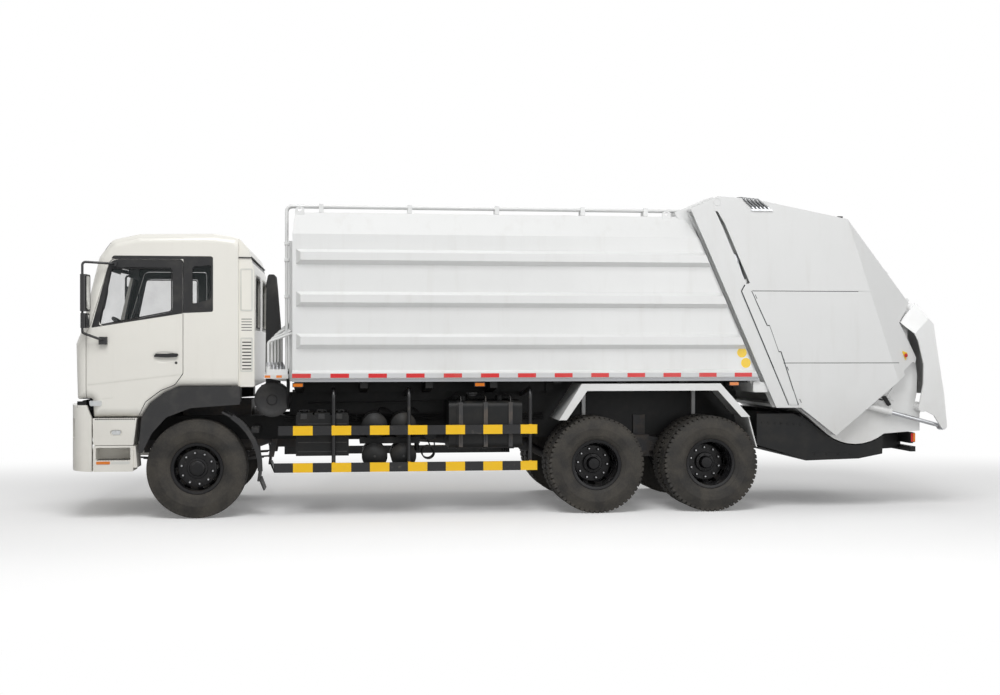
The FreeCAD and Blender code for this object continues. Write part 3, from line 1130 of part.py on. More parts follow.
def dashboard():
    top = side_prism([(-1290, 1560), (-1290, 1930), (-1190, 1985), (-940, 1960), (-880, 1880), (-900, 1640), (-1000, 1560)],
                     95 - cab_half, cab_half - 95, [0, 20, 30, 40, 40, 40, 0])
    leg = box(-1290, -1180, 115 - cab_half, cab_half - 115, 1346, 1562)
    foot_fix = box(-1290, -1240, 115 - cab_half, cab_half - 115, 1345, 1350)
    column = rod((-960, -560, 1800), (-790, -560, 2030), 38.0)
    base = Vector(-790, -560, 2030)
    tilt = Vector(170, 0, 230)
    ring = Part.makeTorus(225.0, 17.0, base, tilt)
    hub_disc = Part.makeCylinder(62.0, 36.0, base - Vector(tilt).normalize() * 18, tilt)
    spokes = []
    for angle in (90, 215, 325):
        spoke = Part.makeBox(18, 212, 14, Vector(-9, 10, -7))
        spoke.rotate(Vector(0, 0, 0), Vector(0, 0, 1), angle)
        spoke.Placement = FreeCAD.Placement(base, FreeCAD.Rotation(Vector(0, 0, 1), tilt)).multiply(spoke.Placement)
        spokes.append(spoke)
    return fused(top, leg, foot_fix, column, ring, hub_disc, *spokes).common(cab_solid(cab_wall + seat_gap))


def seats():
    """Driver's and mate's seats on boxes over the engine cover."""
    made = []
    for y0 in (-880.0, 330.0):
        y1 = y0 + 520
        cushion = side_prism([(-420, 1800), (-420, 1880), (-380, 1925), (80, 1895), (110, 1800)], y0, y1, [10, 30, 30, 20, 10])
        back = side_prism([(30, 1870), (110, 1840), (250, 2480), (150, 2500)], y0 + 15, y1 - 15, [20, 20, 30, 30])
        head = side_prism([(156, 2478), (241, 2468), (268, 2640), (185, 2650)], y0 + 130, y1 - 130, [10, 10, 30, 30])
        pedestal = box(-330, 40, y0 + 70, y1 - 70, 1466.0 + seat_gap, 1802)
        made.append(fused(cushion, back, head, pedestal))
    tunnel = side_prism([(-520, 1466 + seat_gap), (-520, 1640), (-440, 1700), (300, 1700), (300, 1466 + seat_gap)], -300, 260,
                        [0, 40, 40, 20, 0])
    return made + [tunnel]


def front_bumper():
    """Wrap-round bumper, hollow behind, with lamp and intake openings."""
    y = cab_half
    profile = [(-1368, 1226), (-1398, 1160), (-1404, 900), (-front_overhang, 840), (-front_overhang + 10, 600), (-1390, 540),
               (-1082, 520), (-1082, 1084), (-1134, 1226)]
    shape = side_prism(profile, -y, y, [12, 40, 30, 20, 40, 30, 0, 0, 0])
    shape = shape.common(bowed_plan(-front_overhang, y, 500, 1240))
    hollow = side_prism([(-1330, 1240), (-1340, 900), (-1372, 820), (-1372, 600), (-1340, 572), (-1000, 560), (-1000, 1240)],
                        -y + 42, y - 42)
    shape = shape.cut(hollow.common(bowed_plan(-front_overhang, y, 500, 1240, 58.0)))
    intake = front_prism([(-620, 640), (620, 640), (560, 800), (-560, 800)], -1500, -1200, 20)
    upper = front_prism([(-700, 930), (700, 930), (740, 1150), (-740, 1150)], -1500, -1200, 20)
    lamps = [front_prism([(s * (y - 415), 850), (s * (y - 65), 850), (s * (y - 55), 1090), (s * (y - 385), 1060)], -1500, -1150, 20)
             for s in (-1, 1)]
    shape = shape.cut(intake).cut(upper)
    for cut in lamps:
        shape = shape.cut(cut)
    brackets = both(box(-1375, rail_front, -frame_half + 12, -frame_half + 60, 830, 900))
    slats = [box(-1400, -1250, -745, 745, z, z + 34) for z in (960.0, 1030.0, 1100.0)]
    slats += [box(-1400, -1250, -610, 610, 705.0, 735.0)]
    band = bowed_plan(-front_overhang, y, 500, 1240, 36.0).cut(bowed_plan(-front_overhang, y, 500, 1240, 66.0))
    slats = [slat.common(band) for slat in slats]
    return fused(shape, *brackets, *slats)


def cab_steps():
    """Lower cab steps: a closed upper box with a lamp pocket and an open tread below it."""
    y = -cab_half
    x0, x1 = -1066.0, -622.0
    panel = side_prism([(x0, 802), (x0 - 4, 1088), (x1 + 5, 1088), (x1 - 30, 802)], y, y + 300, 10)
    lower = side_prism([(x0, 520), (x0, 796), (x1 - 30, 796), (x1 - 34, 520)], y, y + 300, 10)
    mouth = side_prism([(x0 + 26, 640), (x0 + 26, 775), (x1 - 60, 775), (x1 - 60, 640)], y - 1, y + 210, 12)
    slot = side_prism([(-890, 905), (-890, 965), (-770, 965), (-770, 905)], y - 1, y + 18, 29.0)
    link = box(x0 + 60, x1 - 100, y + 60, y + 290, 780, 820)
    hanger = box(x0 + 150, x0 + 230, y + 290, -frame_half, 860, 940)
    guard = side_prism([(x1 - 30, 790), (x1 - 10, 790), (x1 + 8, 560), (x1 - 33, 560)], y + 20, y + 300)
    return both(fused(panel, lower.cut(mouth), link, hanger, guard).cut(slot))


def headlamps():
    y = cab_half
    band = bowed_plan(-front_overhang, y, 500, 1240, 40.0).cut(bowed_plan(-front_overhang, y, 500, 1240, 85.0))
    made = []
    for s in (-1, 1):
        block = front_prism([(s * (y - 414), 851), (s * (y - 66), 851), (s * (y - 56), 1089), (s * (y - 384), 1059)],
                            -1500, -1150, 20)
        made.append(block.common(band))
    return made


def build():
    for sign, side in ((-1, "left"), (1, "right")):
        rubber, wheel, knuckle = front_wheel(sign)
        save(f"tyre_front_{side}", rubber)
        save(f"wheel_front_{side}", wheel)
        save(f"knuckle_{side}", knuckle)
    for place, x in (("middle", middle_x), ("rear", rear_x)):
        tyres, wheels = twin_wheels(x)
        save(f"tyres_{place}_left", *tyres)
        save(f"wheels_{place}_left", wheels)
        save(f"tyres_{place}_right", *[mirrored(t) for t in tyres])
        save(f"wheels_{place}_right", mirrored(wheels))
    save("front_axle", front_axle())
    save("rear_axles", rear_bogie())
    save("chassis_frame", ladder())
    save("engine", *engine())
    save("fuel_tank", fuel_tank())
    save("chassis_tanks", chassis_tanks())
    save("side_guards", *side_guards())
    save("front_mudguards", *front_mudguards())
    save("rear_mudguards", *rear_mudguards())
    save("air_intake", air_intake())
    save("rear_underframe", rear_underframe())
    side = body_side()
    eyes = [fused(side, *lifting_eyes())]
    save("body_sides", *both(eyes[0]))
    save("body_roof", body_roof())
    save("body_front_wall", body_front_wall())
    save("body_floor", body_floor())
    save("body_rear_frame", body_rear_frame())
    save("hydraulic_pipes", hydraulic_pipes())
    save("ejector_plate", ejector())
    save("tailgate_walls", *both(gate_wall_plate()))
    save("tailgate_skins", *both(gate_skin()))
    save("tailgate_cover", gate_cover())
    save("hopper_trough", hopper_trough())
    save("packer_carriage", carriage())
    save("packer_blade", blade())
    save("loading_bucket", loading_bucket())
    barrel, piece = ram(bucket_base(), rod_eye, 38.0, 24.0, 640.0, 700.0, bucket_ram_y)
    save("bucket_barrels", *both(barrel))
    save("bucket_rods", *both(piece))
    barrel, piece = ram(lift_base, lift_eye, 42.0, 26.0, 1250.0, 1350.0, lift_y)
    save("lift_barrels", *both(barrel))
    save("lift_rods", *both(piece))
    shell, leaf, pane, panes = cab()
    handle, mirror_arm = door_fittings()
    leaf = fused(leaf, handle, mirror_arm)
    save("cab_shell", shell)
    save("cab_glass", *panes)
    save("cab_arches", *both(cab_arches(shell)))
    save("front_grille", grille())
    save("dashboard", dashboard())
    save("seats", *seats())
    save("door_left", leaf)
    save("door_right", mirrored(leaf))
    save("door_glass_left", pane)
    save("door_glass_right", mirrored(pane))
    save("front_bumper", front_bumper())
    save("cab_steps", *cab_steps())
    save("headlamps", *headlamps())


build()
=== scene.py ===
import bpy, bmesh, json, math, random
from mathutils import Matrix, Vector


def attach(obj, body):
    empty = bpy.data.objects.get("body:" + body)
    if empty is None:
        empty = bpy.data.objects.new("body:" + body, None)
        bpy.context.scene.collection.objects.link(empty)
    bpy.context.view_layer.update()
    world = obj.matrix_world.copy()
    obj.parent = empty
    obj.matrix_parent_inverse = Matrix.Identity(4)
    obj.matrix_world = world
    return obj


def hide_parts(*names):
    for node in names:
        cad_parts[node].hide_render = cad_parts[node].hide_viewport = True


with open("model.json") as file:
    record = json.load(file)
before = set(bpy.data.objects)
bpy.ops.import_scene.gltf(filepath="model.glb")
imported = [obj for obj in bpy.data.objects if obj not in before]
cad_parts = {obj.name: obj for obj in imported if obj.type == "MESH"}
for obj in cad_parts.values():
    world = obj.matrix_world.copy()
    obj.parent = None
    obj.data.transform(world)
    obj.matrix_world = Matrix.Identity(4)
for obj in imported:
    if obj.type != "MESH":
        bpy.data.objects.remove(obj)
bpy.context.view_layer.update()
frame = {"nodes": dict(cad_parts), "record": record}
nodes = frame["nodes"]
axleX = -3.49  # the front axle; lengths below are measured from it, as on a drawing


# Camera and studio

camera = {"place": (1.578, -15.24, 1.837), "yaw": -6.87, "focal": 1287.0, "imageWidth": 1000.0, "sensor": 36.0}
studio = {"size": 60, "floor": 0.97, "bounce": 0.5, "glow": 0.14, "skyLight": 0.34, "fadeFrom": 3.6, "fadeTo": 7.5,
          "fadeStretch": 1.9, "aim": (0.3, 0, 1.2),
          "lamps": {"key": ((-2.0, -9.5, 12.0), 7.0, 1010.0), "fill": ((7.0, -13.0, 5.0), 9.0, 360.0),
                    "back": ((1.0, 9.0, 10.0), 9.0, 320.0)}}


def addCamera():
    data = bpy.data.cameras.new("photoCamera")
    data.sensor_width = camera["sensor"]
    data.lens = camera["focal"] / camera["imageWidth"] * camera["sensor"]
    data.clip_end = 200.0
    made = bpy.data.objects.new("photoCamera", data)
    made.location = Vector(camera["place"]) + Vector((axleX, 0, 0))
    made.rotation_euler = (math.radians(90), 0, math.radians(camera["yaw"]))
    bpy.context.collection.objects.link(made)
    bpy.context.scene.camera = made


# A socket that takes Python arithmetic
class Sock:
    def __init__(self, finish, socket):
        self.finish, self.socket = finish, socket

    def calc(self, operation, *values):
        return self.finish.node("ShaderNodeMath", {"operation": operation}, dict(enumerate(values)))

    def __add__(self, other): return self.calc("ADD", self, other)
    def __radd__(self, other): return self.calc("ADD", other, self)
    def __sub__(self, other): return self.calc("SUBTRACT", self, other)
    def __rsub__(self, other): return self.calc("SUBTRACT", other, self)
    def __mul__(self, other): return self.calc("MULTIPLY", self, other)
    def __rmul__(self, other): return self.calc("MULTIPLY", other, self)
    def __truediv__(self, other): return self.calc("DIVIDE", self, other)
    def __gt__(self, other): return self.calc("GREATER_THAN", self, other)
    def __lt__(self, other): return self.calc("LESS_THAN", self, other)
    def __mod__(self, other): return self.calc("FLOORED_MODULO", self, other)
    def __abs__(self): return self.calc("ABSOLUTE", self)
    def atMost(self, other): return self.calc("MINIMUM", self, other)
    def atLeast(self, other): return self.calc("MAXIMUM", self, other)
    def power(self, other): return self.calc("POWER", self, other)

    def between(self, low, high):  # 0 at low, 1 at high, smooth
        return self.finish.node("ShaderNodeMapRange", {"interpolation_type": "SMOOTHSTEP"},
                                {"Value": self, "From Min": low, "From Max": high})


class Finish:
    def __init__(self, name, **fixed):
        self.material = bpy.data.materials.new(name)
        self.material.use_nodes = True
        self.tree = self.material.node_tree
        self.shader = self.tree.nodes["Principled BSDF"]
        self.point = self.node("ShaderNodeTexCoord", output="Object")
        for socket, value in fixed.items():
            self.give(socket.replace("_", " "), value)

    def feed(self, socket, value):
        if isinstance(value, Sock):
            self.tree.links.new(value.socket, socket)
        elif socket.type == "RGBA" and len(value) == 3:
            socket.default_value = (*value, 1.0)
        else:
            socket.default_value = value

    def node(self, kind, settings=None, inputs=None, output=0):
        made = self.tree.nodes.new(kind)
        for key, value in (settings or {}).items():
            setattr(made, key, value)
        for key, value in (inputs or {}).items():
            self.feed(made.inputs[key], value)
        return Sock(self, made.outputs[output])

    def give(self, socket, value):
        self.feed(self.shader.inputs[socket], value)

    def spot(self, stretch):
        return self.node("ShaderNodeMapping", None, {"Vector": self.point, "Scale": stretch})

    def grain(self, scale, detail=3.0, stretch=(1, 1, 1)):
        return self.node("ShaderNodeTexNoise", None, {"Vector": self.spot(stretch), "Scale": scale, "Detail": detail,
                                                      "Roughness": 0.55})

    def cells(self, scale, stretch=(1, 1, 1)):
        return self.node("ShaderNodeTexVoronoi", None, {"Vector": self.spot(stretch), "Scale": scale}, "Distance")

    def axis(self, letter):
        return self.node("ShaderNodeSeparateXYZ", None, {"Vector": self.point}, "XYZ".index(letter))

    def facing(self, letter):
        normal = self.node("ShaderNodeNewGeometry", output="Normal")
        return self.node("ShaderNodeSeparateXYZ", None, {"Vector": normal}, "XYZ".index(letter))

    def mix(self, share, one, other):
        made = self.tree.nodes.new("ShaderNodeMix")
        made.data_type = "RGBA"
        self.feed(made.inputs[0], share)
        self.feed(made.inputs[6], one)
        self.feed(made.inputs[7], other)
        return Sock(self, made.outputs[2])

    def bump(self, height, depth):
        self.give("Normal", self.node("ShaderNodeBump", None, {"Height": height, "Distance": depth, "Strength": 1.0}))


def addStudio():
    floor = bmesh.new()
    bmesh.ops.create_grid(floor, x_segments=1, y_segments=1, size=studio["size"])
    made = toObject(floor, "studioFloor", None)
    f = Finish("studioFloor", Base_Color=(studio["floor"],) * 3, Roughness=1.0, Specular_IOR_Level=0.0,
               Emission_Color=(1, 1, 1), Emission_Strength=studio["glow"])
    reach = ((f.axis("X") / studio["fadeStretch"]).power(2) + f.axis("Y").power(2)).power(0.5)
    seen = f.node("ShaderNodeLightPath", output="Is Camera Ray")
    f.give("Base Color", f.mix(seen, (studio["bounce"],) * 3, (studio["floor"],) * 3))
    share = f.node("ShaderNodeMapRange", {"interpolation_type": "SMOOTHSTEP"},
                   {"Value": reach, "From Min": studio["fadeFrom"], "From Max": studio["fadeTo"]}) * seen
    white = f.tree.nodes.new("ShaderNodeEmission")
    blend = f.tree.nodes.new("ShaderNodeMixShader")
    f.feed(blend.inputs[0], share)
    f.tree.links.new(f.shader.outputs[0], blend.inputs[1])
    f.tree.links.new(white.outputs[0], blend.inputs[2])
    f.tree.links.new(blend.outputs[0], f.tree.nodes["Material Output"].inputs["Surface"])
    made.data.materials.append(f.material)
    world = bpy.data.worlds.new("studioSky")
    bpy.context.scene.world = world
    world.use_nodes = True
    tree = world.node_tree
    path = tree.nodes.new("ShaderNodeLightPath")
    level = tree.nodes.new("ShaderNodeMath")
    level.operation, level.use_clamp = "ADD", True
    level.inputs[1].default_value = studio["skyLight"]
    seen = tree.nodes.new("ShaderNodeMath")
    seen.operation = "ADD"
    for place, kind in enumerate(("Is Camera Ray", "Is Transmission Ray")):
        tree.links.new(path.outputs[kind], seen.inputs[place])
    tree.links.new(seen.outputs[0], level.inputs[0])
    gloss = tree.nodes.new("ShaderNodeMath")
    gloss.operation = "MAXIMUM"
    tree.links.new(level.outputs[0], gloss.inputs[0])
    tree.links.new(path.outputs["Is Glossy Ray"], gloss.inputs[1])
    tree.nodes["Background"].inputs["Color"].default_value = (1, 1, 1, 1)
    tree.links.new(gloss.outputs[0], tree.nodes["Background"].inputs["Strength"])
    for name, (place, size, power) in studio["lamps"].items():
        lamp = bpy.data.lights.new(name + "Lamp", "AREA")
        lamp.size, lamp.energy = size, power
        made = bpy.data.objects.new(name + "Lamp", lamp)
        made.location = place
        made.rotation_euler = (Vector(studio["aim"]) - Vector(place)).to_track_quat("-Z", "Y").to_euler()
        bpy.context.collection.objects.link(made)


def toObject(bm, name, finish, body=None, smooth=None):
    # ends a bmesh as an object with its finish, smoothed up to an angle and riding on a body where asked
    bmesh.ops.remove_doubles(bm, verts=bm.verts, dist=1e-6)
    mesh = bpy.data.meshes.new(name)
    bm.to_mesh(mesh)
    bm.free()
    made = bpy.data.objects.new(name, mesh)
    bpy.context.collection.objects.link(made)
    if finish:
        mesh.materials.append(finish.material)
    if smooth:
        for face in mesh.polygons:
            face.use_smooth = True
        mesh.set_sharp_from_angle(angle=math.radians(smooth))
    if body:
        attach(made, body)
    return made


addCamera()
addStudio()
bpy.context.scene.view_settings.view_transform = "Standard"
print("studio ready")


# Finishes

paintTones = {"cab": (0.88, 0.862, 0.80), "body": (0.80, 0.806, 0.80), "dust": (0.42, 0.38, 0.32), "relief": 0.0006}


def startPaint(name):
    # a coated paint, with the clouds and the rain streaks that its dirt follows
    f = Finish(name, Coat_Weight=0.35, Coat_Roughness=0.08, Specular_IOR_Level=0.5)
    return f, f.grain(1.7, 4.0), f.grain(9.0, 3.0, stretch=(1, 1, 0.12))


def clouded(f, cloudy, color, shade=0.95):
    # the colour varies a little from place to place
    return f.mix(cloudy.between(0.3, 0.7) * 0.5, color, tuple(c * shade for c in color))


def dusted(f, grime, tone):
    return f.mix(grime.atMost(1.0), tone, paintTones["dust"])


def paintSkin(f):
    # orange peel and slow waves of the sheet
    return f.grain(260.0, 1.0) * 0.4 + f.grain(3.0, 2.0) * 1.5


def paintFinish(name, color, dustLow, dustHigh, amount):
    # dirtier below dustLow than above dustHigh
    f, cloudy, streak = startPaint(name)
    low = 1 - f.axis("Z").between(dustLow, dustHigh)
    grime = (streak.between(0.52, 0.8) * 0.25 + low * cloudy.between(0.35, 0.75)) * amount
    f.give("Base Color", dusted(f, grime, clouded(f, cloudy, color)))
    f.give("Roughness", grime * 0.5 + 0.28)
    f.bump(paintSkin(f), paintTones["relief"])
    return f


def blackFinish(name, color, dust, rough):
    # dust settles on what faces up
    f = Finish(name, Specular_IOR_Level=0.3)
    cloudy = f.grain(6.0, 5.0)
    up = f.facing("Z").between(-0.2, 0.9)
    share = (cloudy.between(0.42, 0.75) * (0.10 + up * 0.90)) * dust
    f.give("Base Color", f.mix(share, color, (0.17, 0.145, 0.115)))
    f.give("Roughness", share * 0.6 + rough)
    f.bump(f.grain(140.0, 2.0), 0.0005)
    return f


def rubberFinish():
    f = Finish("tyreRubber", Specular_IOR_Level=0.35)
    cloudy = f.grain(5.0, 5.0)
    fine = f.grain(60.0, 3.0)
    share = cloudy.between(0.3, 0.7) * 0.55 + fine.between(0.4, 0.8) * 0.25
    f.give("Base Color", f.mix(share, (0.020, 0.019, 0.018), (0.085, 0.076, 0.063)))
    f.give("Roughness", share * 0.2 + 0.62)
    f.bump(fine, 0.0012)
    return f


def plasticFinish(name, color=(0.02, 0.02, 0.021), rough=0.48):
    f = Finish(name)
    f.give("Base Color", f.mix(f.grain(5.0, 4.0).between(0.45, 0.8) * 0.25, color, (0.13, 0.12, 0.105)))
    f.give("Roughness", f.grain(30.0, 3.0) * 0.12 + rough)
    f.bump(f.cells(420.0), 0.0003)
    return f


# The nose bows forward in the middle: half width, bow and place of the upright face,
# of the screen's foot and of its top
nose = {"half": 0.980, "upright": -1.255, "foot": -1.212, "bow": 0.107, "top": -1.015, "topBow": 0.050,
        "screenLow": 1.985, "screenRise": 0.815}
cabInside = {"skin": 0.03, "rear": 0.585, "side": 1.1635, "floor": 1.12, "stepFrom": 0.37, "stepSide": 1.085}
# The roof rises by "slope" to "top" and drops behind "back"; the side window's pillars lean and its sill climbs
cabRoof = {"ahead": 0.88, "slope": 0.232, "front": 2.985, "top": 3.05, "rear": 2.955, "back": 0.50, "drop": 1.4}
sideWindow = {"foot": 2.046, "lean": 0.2685, "front": 1.083, "rear": 0.170, "ahead": 1.084, "climb": 0.1635,
              "sill": 2.048, "head": 2.806, "out": 1.2146}
doorPress = {"from": -1.125, "to": -0.145, "side": 1.2, "fittings": 1.2162,
             "fold": (0.111, 1.5655, 0.012, 7.0), "lower": (0.0966, 1.3868, 0.008, 4.0), "lowerTo": -0.86,
             "cup": (-0.330, 1.735), "cupSize": (0.140, 0.066), "cupDepth": -9.0}


def cabFinish():
    # pale outside, grey trim inside the shell and the doors, black on the mirrors and handles
    f, cloudy, streak = startPaint("cabPaint")
    x, y, z = f.axis("X") - axleX, abs(f.axis("Y")), f.axis("Z")
    grime = (streak.between(0.55, 0.8) * 0.18 + (1 - z.between(0.45, 1.25)) * cloudy.between(0.2, 0.75)) * 0.34
    share = 1 - (y / nose["half"]).power(2)
    climb = (z - nose["screenLow"]) / nose["screenRise"]
    raked = (share * -nose["bow"] + nose["foot"]
             + (share * (nose["bow"] - nose["topBow"]) + (nose["top"] - nose["foot"])) * climb)
    upright = share * -nose["bow"] + nose["upright"]
    roof = ((x + cabRoof["ahead"]) * cabRoof["slope"] + cabRoof["front"]).atMost(cabRoof["top"])
    roof = roof.atMost(cabRoof["rear"] + (cabRoof["back"] - x) * cabRoof["drop"])
    inside = ((x > raked.atLeast(upright) + cabInside["skin"])
              * (x < cabInside["rear"]) * (z < roof - cabInside["skin"])
              * (y < cabInside["side"]) * (z > cabInside["floor"]))
    step = (x > cabInside["stepFrom"]) * (y > cabInside["stepSide"])
    windowFrame = ((x > (z - sideWindow["foot"]) * sideWindow["lean"] - sideWindow["front"])
                   * (x < sideWindow["rear"])
                   * (z > (x + sideWindow["ahead"]) * sideWindow["climb"] + sideWindow["sill"])
                   * (z < sideWindow["head"]) * (y < sideWindow["out"]))
    trim = (inside - step).atLeast(0.0).atLeast(windowFrame)
    fitting = y > doorPress["fittings"]
    tone = f.mix(trim, dusted(f, grime, clouded(f, cloudy, paintTones["cab"])), (0.055, 0.057, 0.062))
    f.give("Base Color", f.mix(fitting, tone, (0.011, 0.011, 0.012)))
    f.give("Roughness", grime * 0.5 + 0.28 + trim * 0.35 + fitting * 0.12)
    door = (x > doorPress["from"]) * (x < doorPress["to"]) * (y > doorPress["side"])
    slope, foot, half, height = doorPress["fold"]
    fold = (z - x * slope - foot).between(-half, half) * door * height
    slope, foot, half, height = doorPress["lower"]
    lower = (z - x * slope - foot).between(-half, half) * (x < doorPress["lowerTo"]) * door * height
    (cupX, cupZ), (cupLong, cupHigh) = doorPress["cup"], doorPress["cupSize"]
    cup = 1 - (((x - cupX) / cupLong).power(2) + ((z - cupZ) / cupHigh).power(2))
    f.bump(paintSkin(f) + fold + lower + cup.between(0.0, 0.55) * doorPress["cupDepth"] * door, paintTones["relief"])
    return f


def glassFinish(name, color, alpha):
    f = Finish(name, Roughness=0.03, Coat_Weight=0.6, IOR=1.5)
    f.give("Base Color", f.mix(f.grain(2.0).between(0.4, 0.8) * 0.3, color, tuple(c * 1.6 + 0.01 for c in color)))
    f.give("Alpha", f.grain(3.0).between(0.2, 0.9) * 0.06 + alpha)
    return f


def steelFinish(name, color=(0.62, 0.63, 0.65), rough=0.22):
    f = Finish(name, Metallic=1.0)
    f.give("Base Color", f.mix(f.grain(12.0, 4.0).between(0.4, 0.8) * 0.4, color, tuple(c * 0.6 for c in color)))
    f.give("Roughness", f.grain(80.0, 2.0) * 0.15 + rough)
    return f


def castFinish():
    f = Finish("castIron", Metallic=0.3)
    share = f.grain(7.0, 5.0).between(0.4, 0.75) * 0.6
    f.give("Base Color", f.mix(share, (0.05, 0.05, 0.052), (0.16, 0.13, 0.105)))
    f.give("Roughness", share * 0.3 + 0.55)
    f.bump(f.grain(90.0, 4.0), 0.0012)
    return f


guardBars = {"pitch": 0.412, "start": 0.821, "black": 0.49, "face": 1.2006, "lower": (0.486, 0.594),
             "upper": (0.886, 0.994)}


def warningFinish():
    # flat bars banded in yellow and black, their posts plain black
    f = Finish("warningStripes", Coat_Weight=0.2)
    along = ((f.axis("X") - (axleX + guardBars["start"])) % guardBars["pitch"]) / guardBars["pitch"]
    outside = abs(f.axis("Y")) > guardBars["face"]
    z = f.axis("Z")
    (low1, high1), (low2, high2) = guardBars["lower"], guardBars["upper"]
    bars = ((z > low1) * (z < high1)).atLeast((z > low2) * (z < high2))
    yellow = (along > guardBars["black"]) * outside * bars
    wear = f.grain(14.0, 5.0).between(0.58, 0.8) * 0.2
    f.give("Base Color", f.mix(wear, f.mix(yellow, (0.008, 0.008, 0.009), (0.96, 0.57, 0.004)), (0.30, 0.26, 0.2)))
    f.give("Roughness", wear * 0.5 + 0.36)
    f.bump(f.grain(120.0, 2.0), 0.0004)
    return f


def clothFinish(name, color):
    f = Finish(name, Sheen_Weight=0.3)
    weave = f.cells(900.0) + f.cells(420.0, stretch=(1, 1, 3))
    f.give("Base Color", f.mix(weave.between(0.3, 0.9), color, tuple(c * 1.8 + 0.02 for c in color)))
    f.give("Roughness", weave * 0.1 + 0.75)
    f.bump(weave, 0.0008)
    return f


cabPaint = cabFinish()
bodyPaint = paintFinish("bodyPaint", paintTones["body"], 1.0, 1.7, 0.18)
chassisBlack = blackFinish("chassisBlack", (0.006, 0.0065, 0.007), 0.28, 0.48)
rimBlack = blackFinish("rimBlack", (0.010, 0.010, 0.011), 0.16, 0.26)
rubber = rubberFinish()
darkPlastic = plasticFinish("darkPlastic")
trimPlastic = plasticFinish("trimPlastic", (0.10, 0.105, 0.11), 0.55)
windowGlass = glassFinish("windowGlass", (0.03, 0.045, 0.045), 0.10)
lampGlass = glassFinish("lampGlass", (0.75, 0.78, 0.8), 0.45)
steel = steelFinish("polishedSteel")
castIron = castFinish()
warning = warningFinish()
seatCloth = clothFinish("seatCloth", (0.06, 0.062, 0.07))

finishOf = {"cab_paint": cabPaint, "body_paint": bodyPaint, "black_paint": chassisBlack, "rim_paint": rimBlack,
            "dark_plastic": darkPlastic, "warning_paint": warning, "tank_metal": steel, "steel": steel,
            "cast": castIron, "tyre": rubber, "window": windowGlass, "lamp_glass": lampGlass,
            "trim": trimPlastic, "seat_cloth": seatCloth}
slotOfNode = {part["node"]: part["material_slot"] for part in frame["record"]["subparts"]}
for name, node in nodes.items():
    finish = finishOf[slotOfNode[name]]
    for holder in node.material_slots:
        holder.material = finish.material
print("finishes on", len(nodes), "nodes")

# Tyres and wheels: each is made round the Y axis at the origin and then set on its hub

tyre = {"radius": 0.535, "half": 0.1425, "bead": 0.264, "steps": 90, "lugs": 56, "notches": 63}
wheelPlaces = {"front": (0.0, 1.020), "middle": (4.35, 1.092), "rear": (5.65, 1.092)}
twinGap = 0.325


def spun(bm, profile, steps=72, closed=False):
    # turns a run of (y, r) points about the Y axis
    verts = [bm.verts.new((0, y, r)) for y, r in profile]
    pairs = list(zip(verts, verts[1:])) + ([(verts[-1], verts[0])] if closed else [])
    edges = [bm.edges.new(pair) for pair in pairs]
    made = bmesh.ops.spin(bm, geom=verts + edges, cent=(0, 0, 0), axis=(0, 1, 0), angle=math.tau, steps=steps,
                          use_merge=True)
    bmesh.ops.remove_doubles(bm, verts=bm.verts, dist=1e-6)
    return made


def ringOf(bm, verts, count):
    # repeats a small part evenly round the Y axis
    faces = list({f for v in verts for f in v.link_faces})
    edges = list({e for v in verts for e in v.link_edges})
    bmesh.ops.spin(bm, geom=list(verts) + edges + faces, cent=(0, 0, 0), axis=(0, 1, 0),
                   angle=math.tau * (count - 1) / count, steps=count - 1, use_duplicate=True)


def block(bm, low, high, bevel=0.0, segments=1):
    # a chamfered block between two corners
    low, high = Vector(low), Vector(high)
    made = bmesh.ops.create_cube(bm, size=1.0)["verts"]
    bmesh.ops.scale(bm, vec=high - low, verts=made)
    bmesh.ops.translate(bm, vec=(low + high) / 2, verts=made)
    if bevel:
        edges = list({e for v in made for e in v.link_edges})
        done = bmesh.ops.bevel(bm, geom=edges, offset=bevel, segments=segments, affect="EDGES", profile=0.5,
                               material=-1, clamp_overlap=True)
        made = list({v for f in done["faces"] for v in f.verts} | {v for v in made if v.is_valid})
    return made


def turned(bm, start, end, radius, sides=24, radius2=None):
    # a capped round bar from one point to another
    start, end = Vector(start), Vector(end)
    line = end - start
    made = bmesh.ops.create_cone(bm, cap_ends=True, segments=sides, radius1=radius, depth=line.length,
                                 radius2=radius if radius2 is None else radius2)["verts"]
    bmesh.ops.rotate(bm, cent=(0, 0, 0), matrix=line.to_track_quat("Z", "Y").to_matrix(), verts=made)
    bmesh.ops.translate(bm, vec=(start + end) / 2, verts=made)
    return made


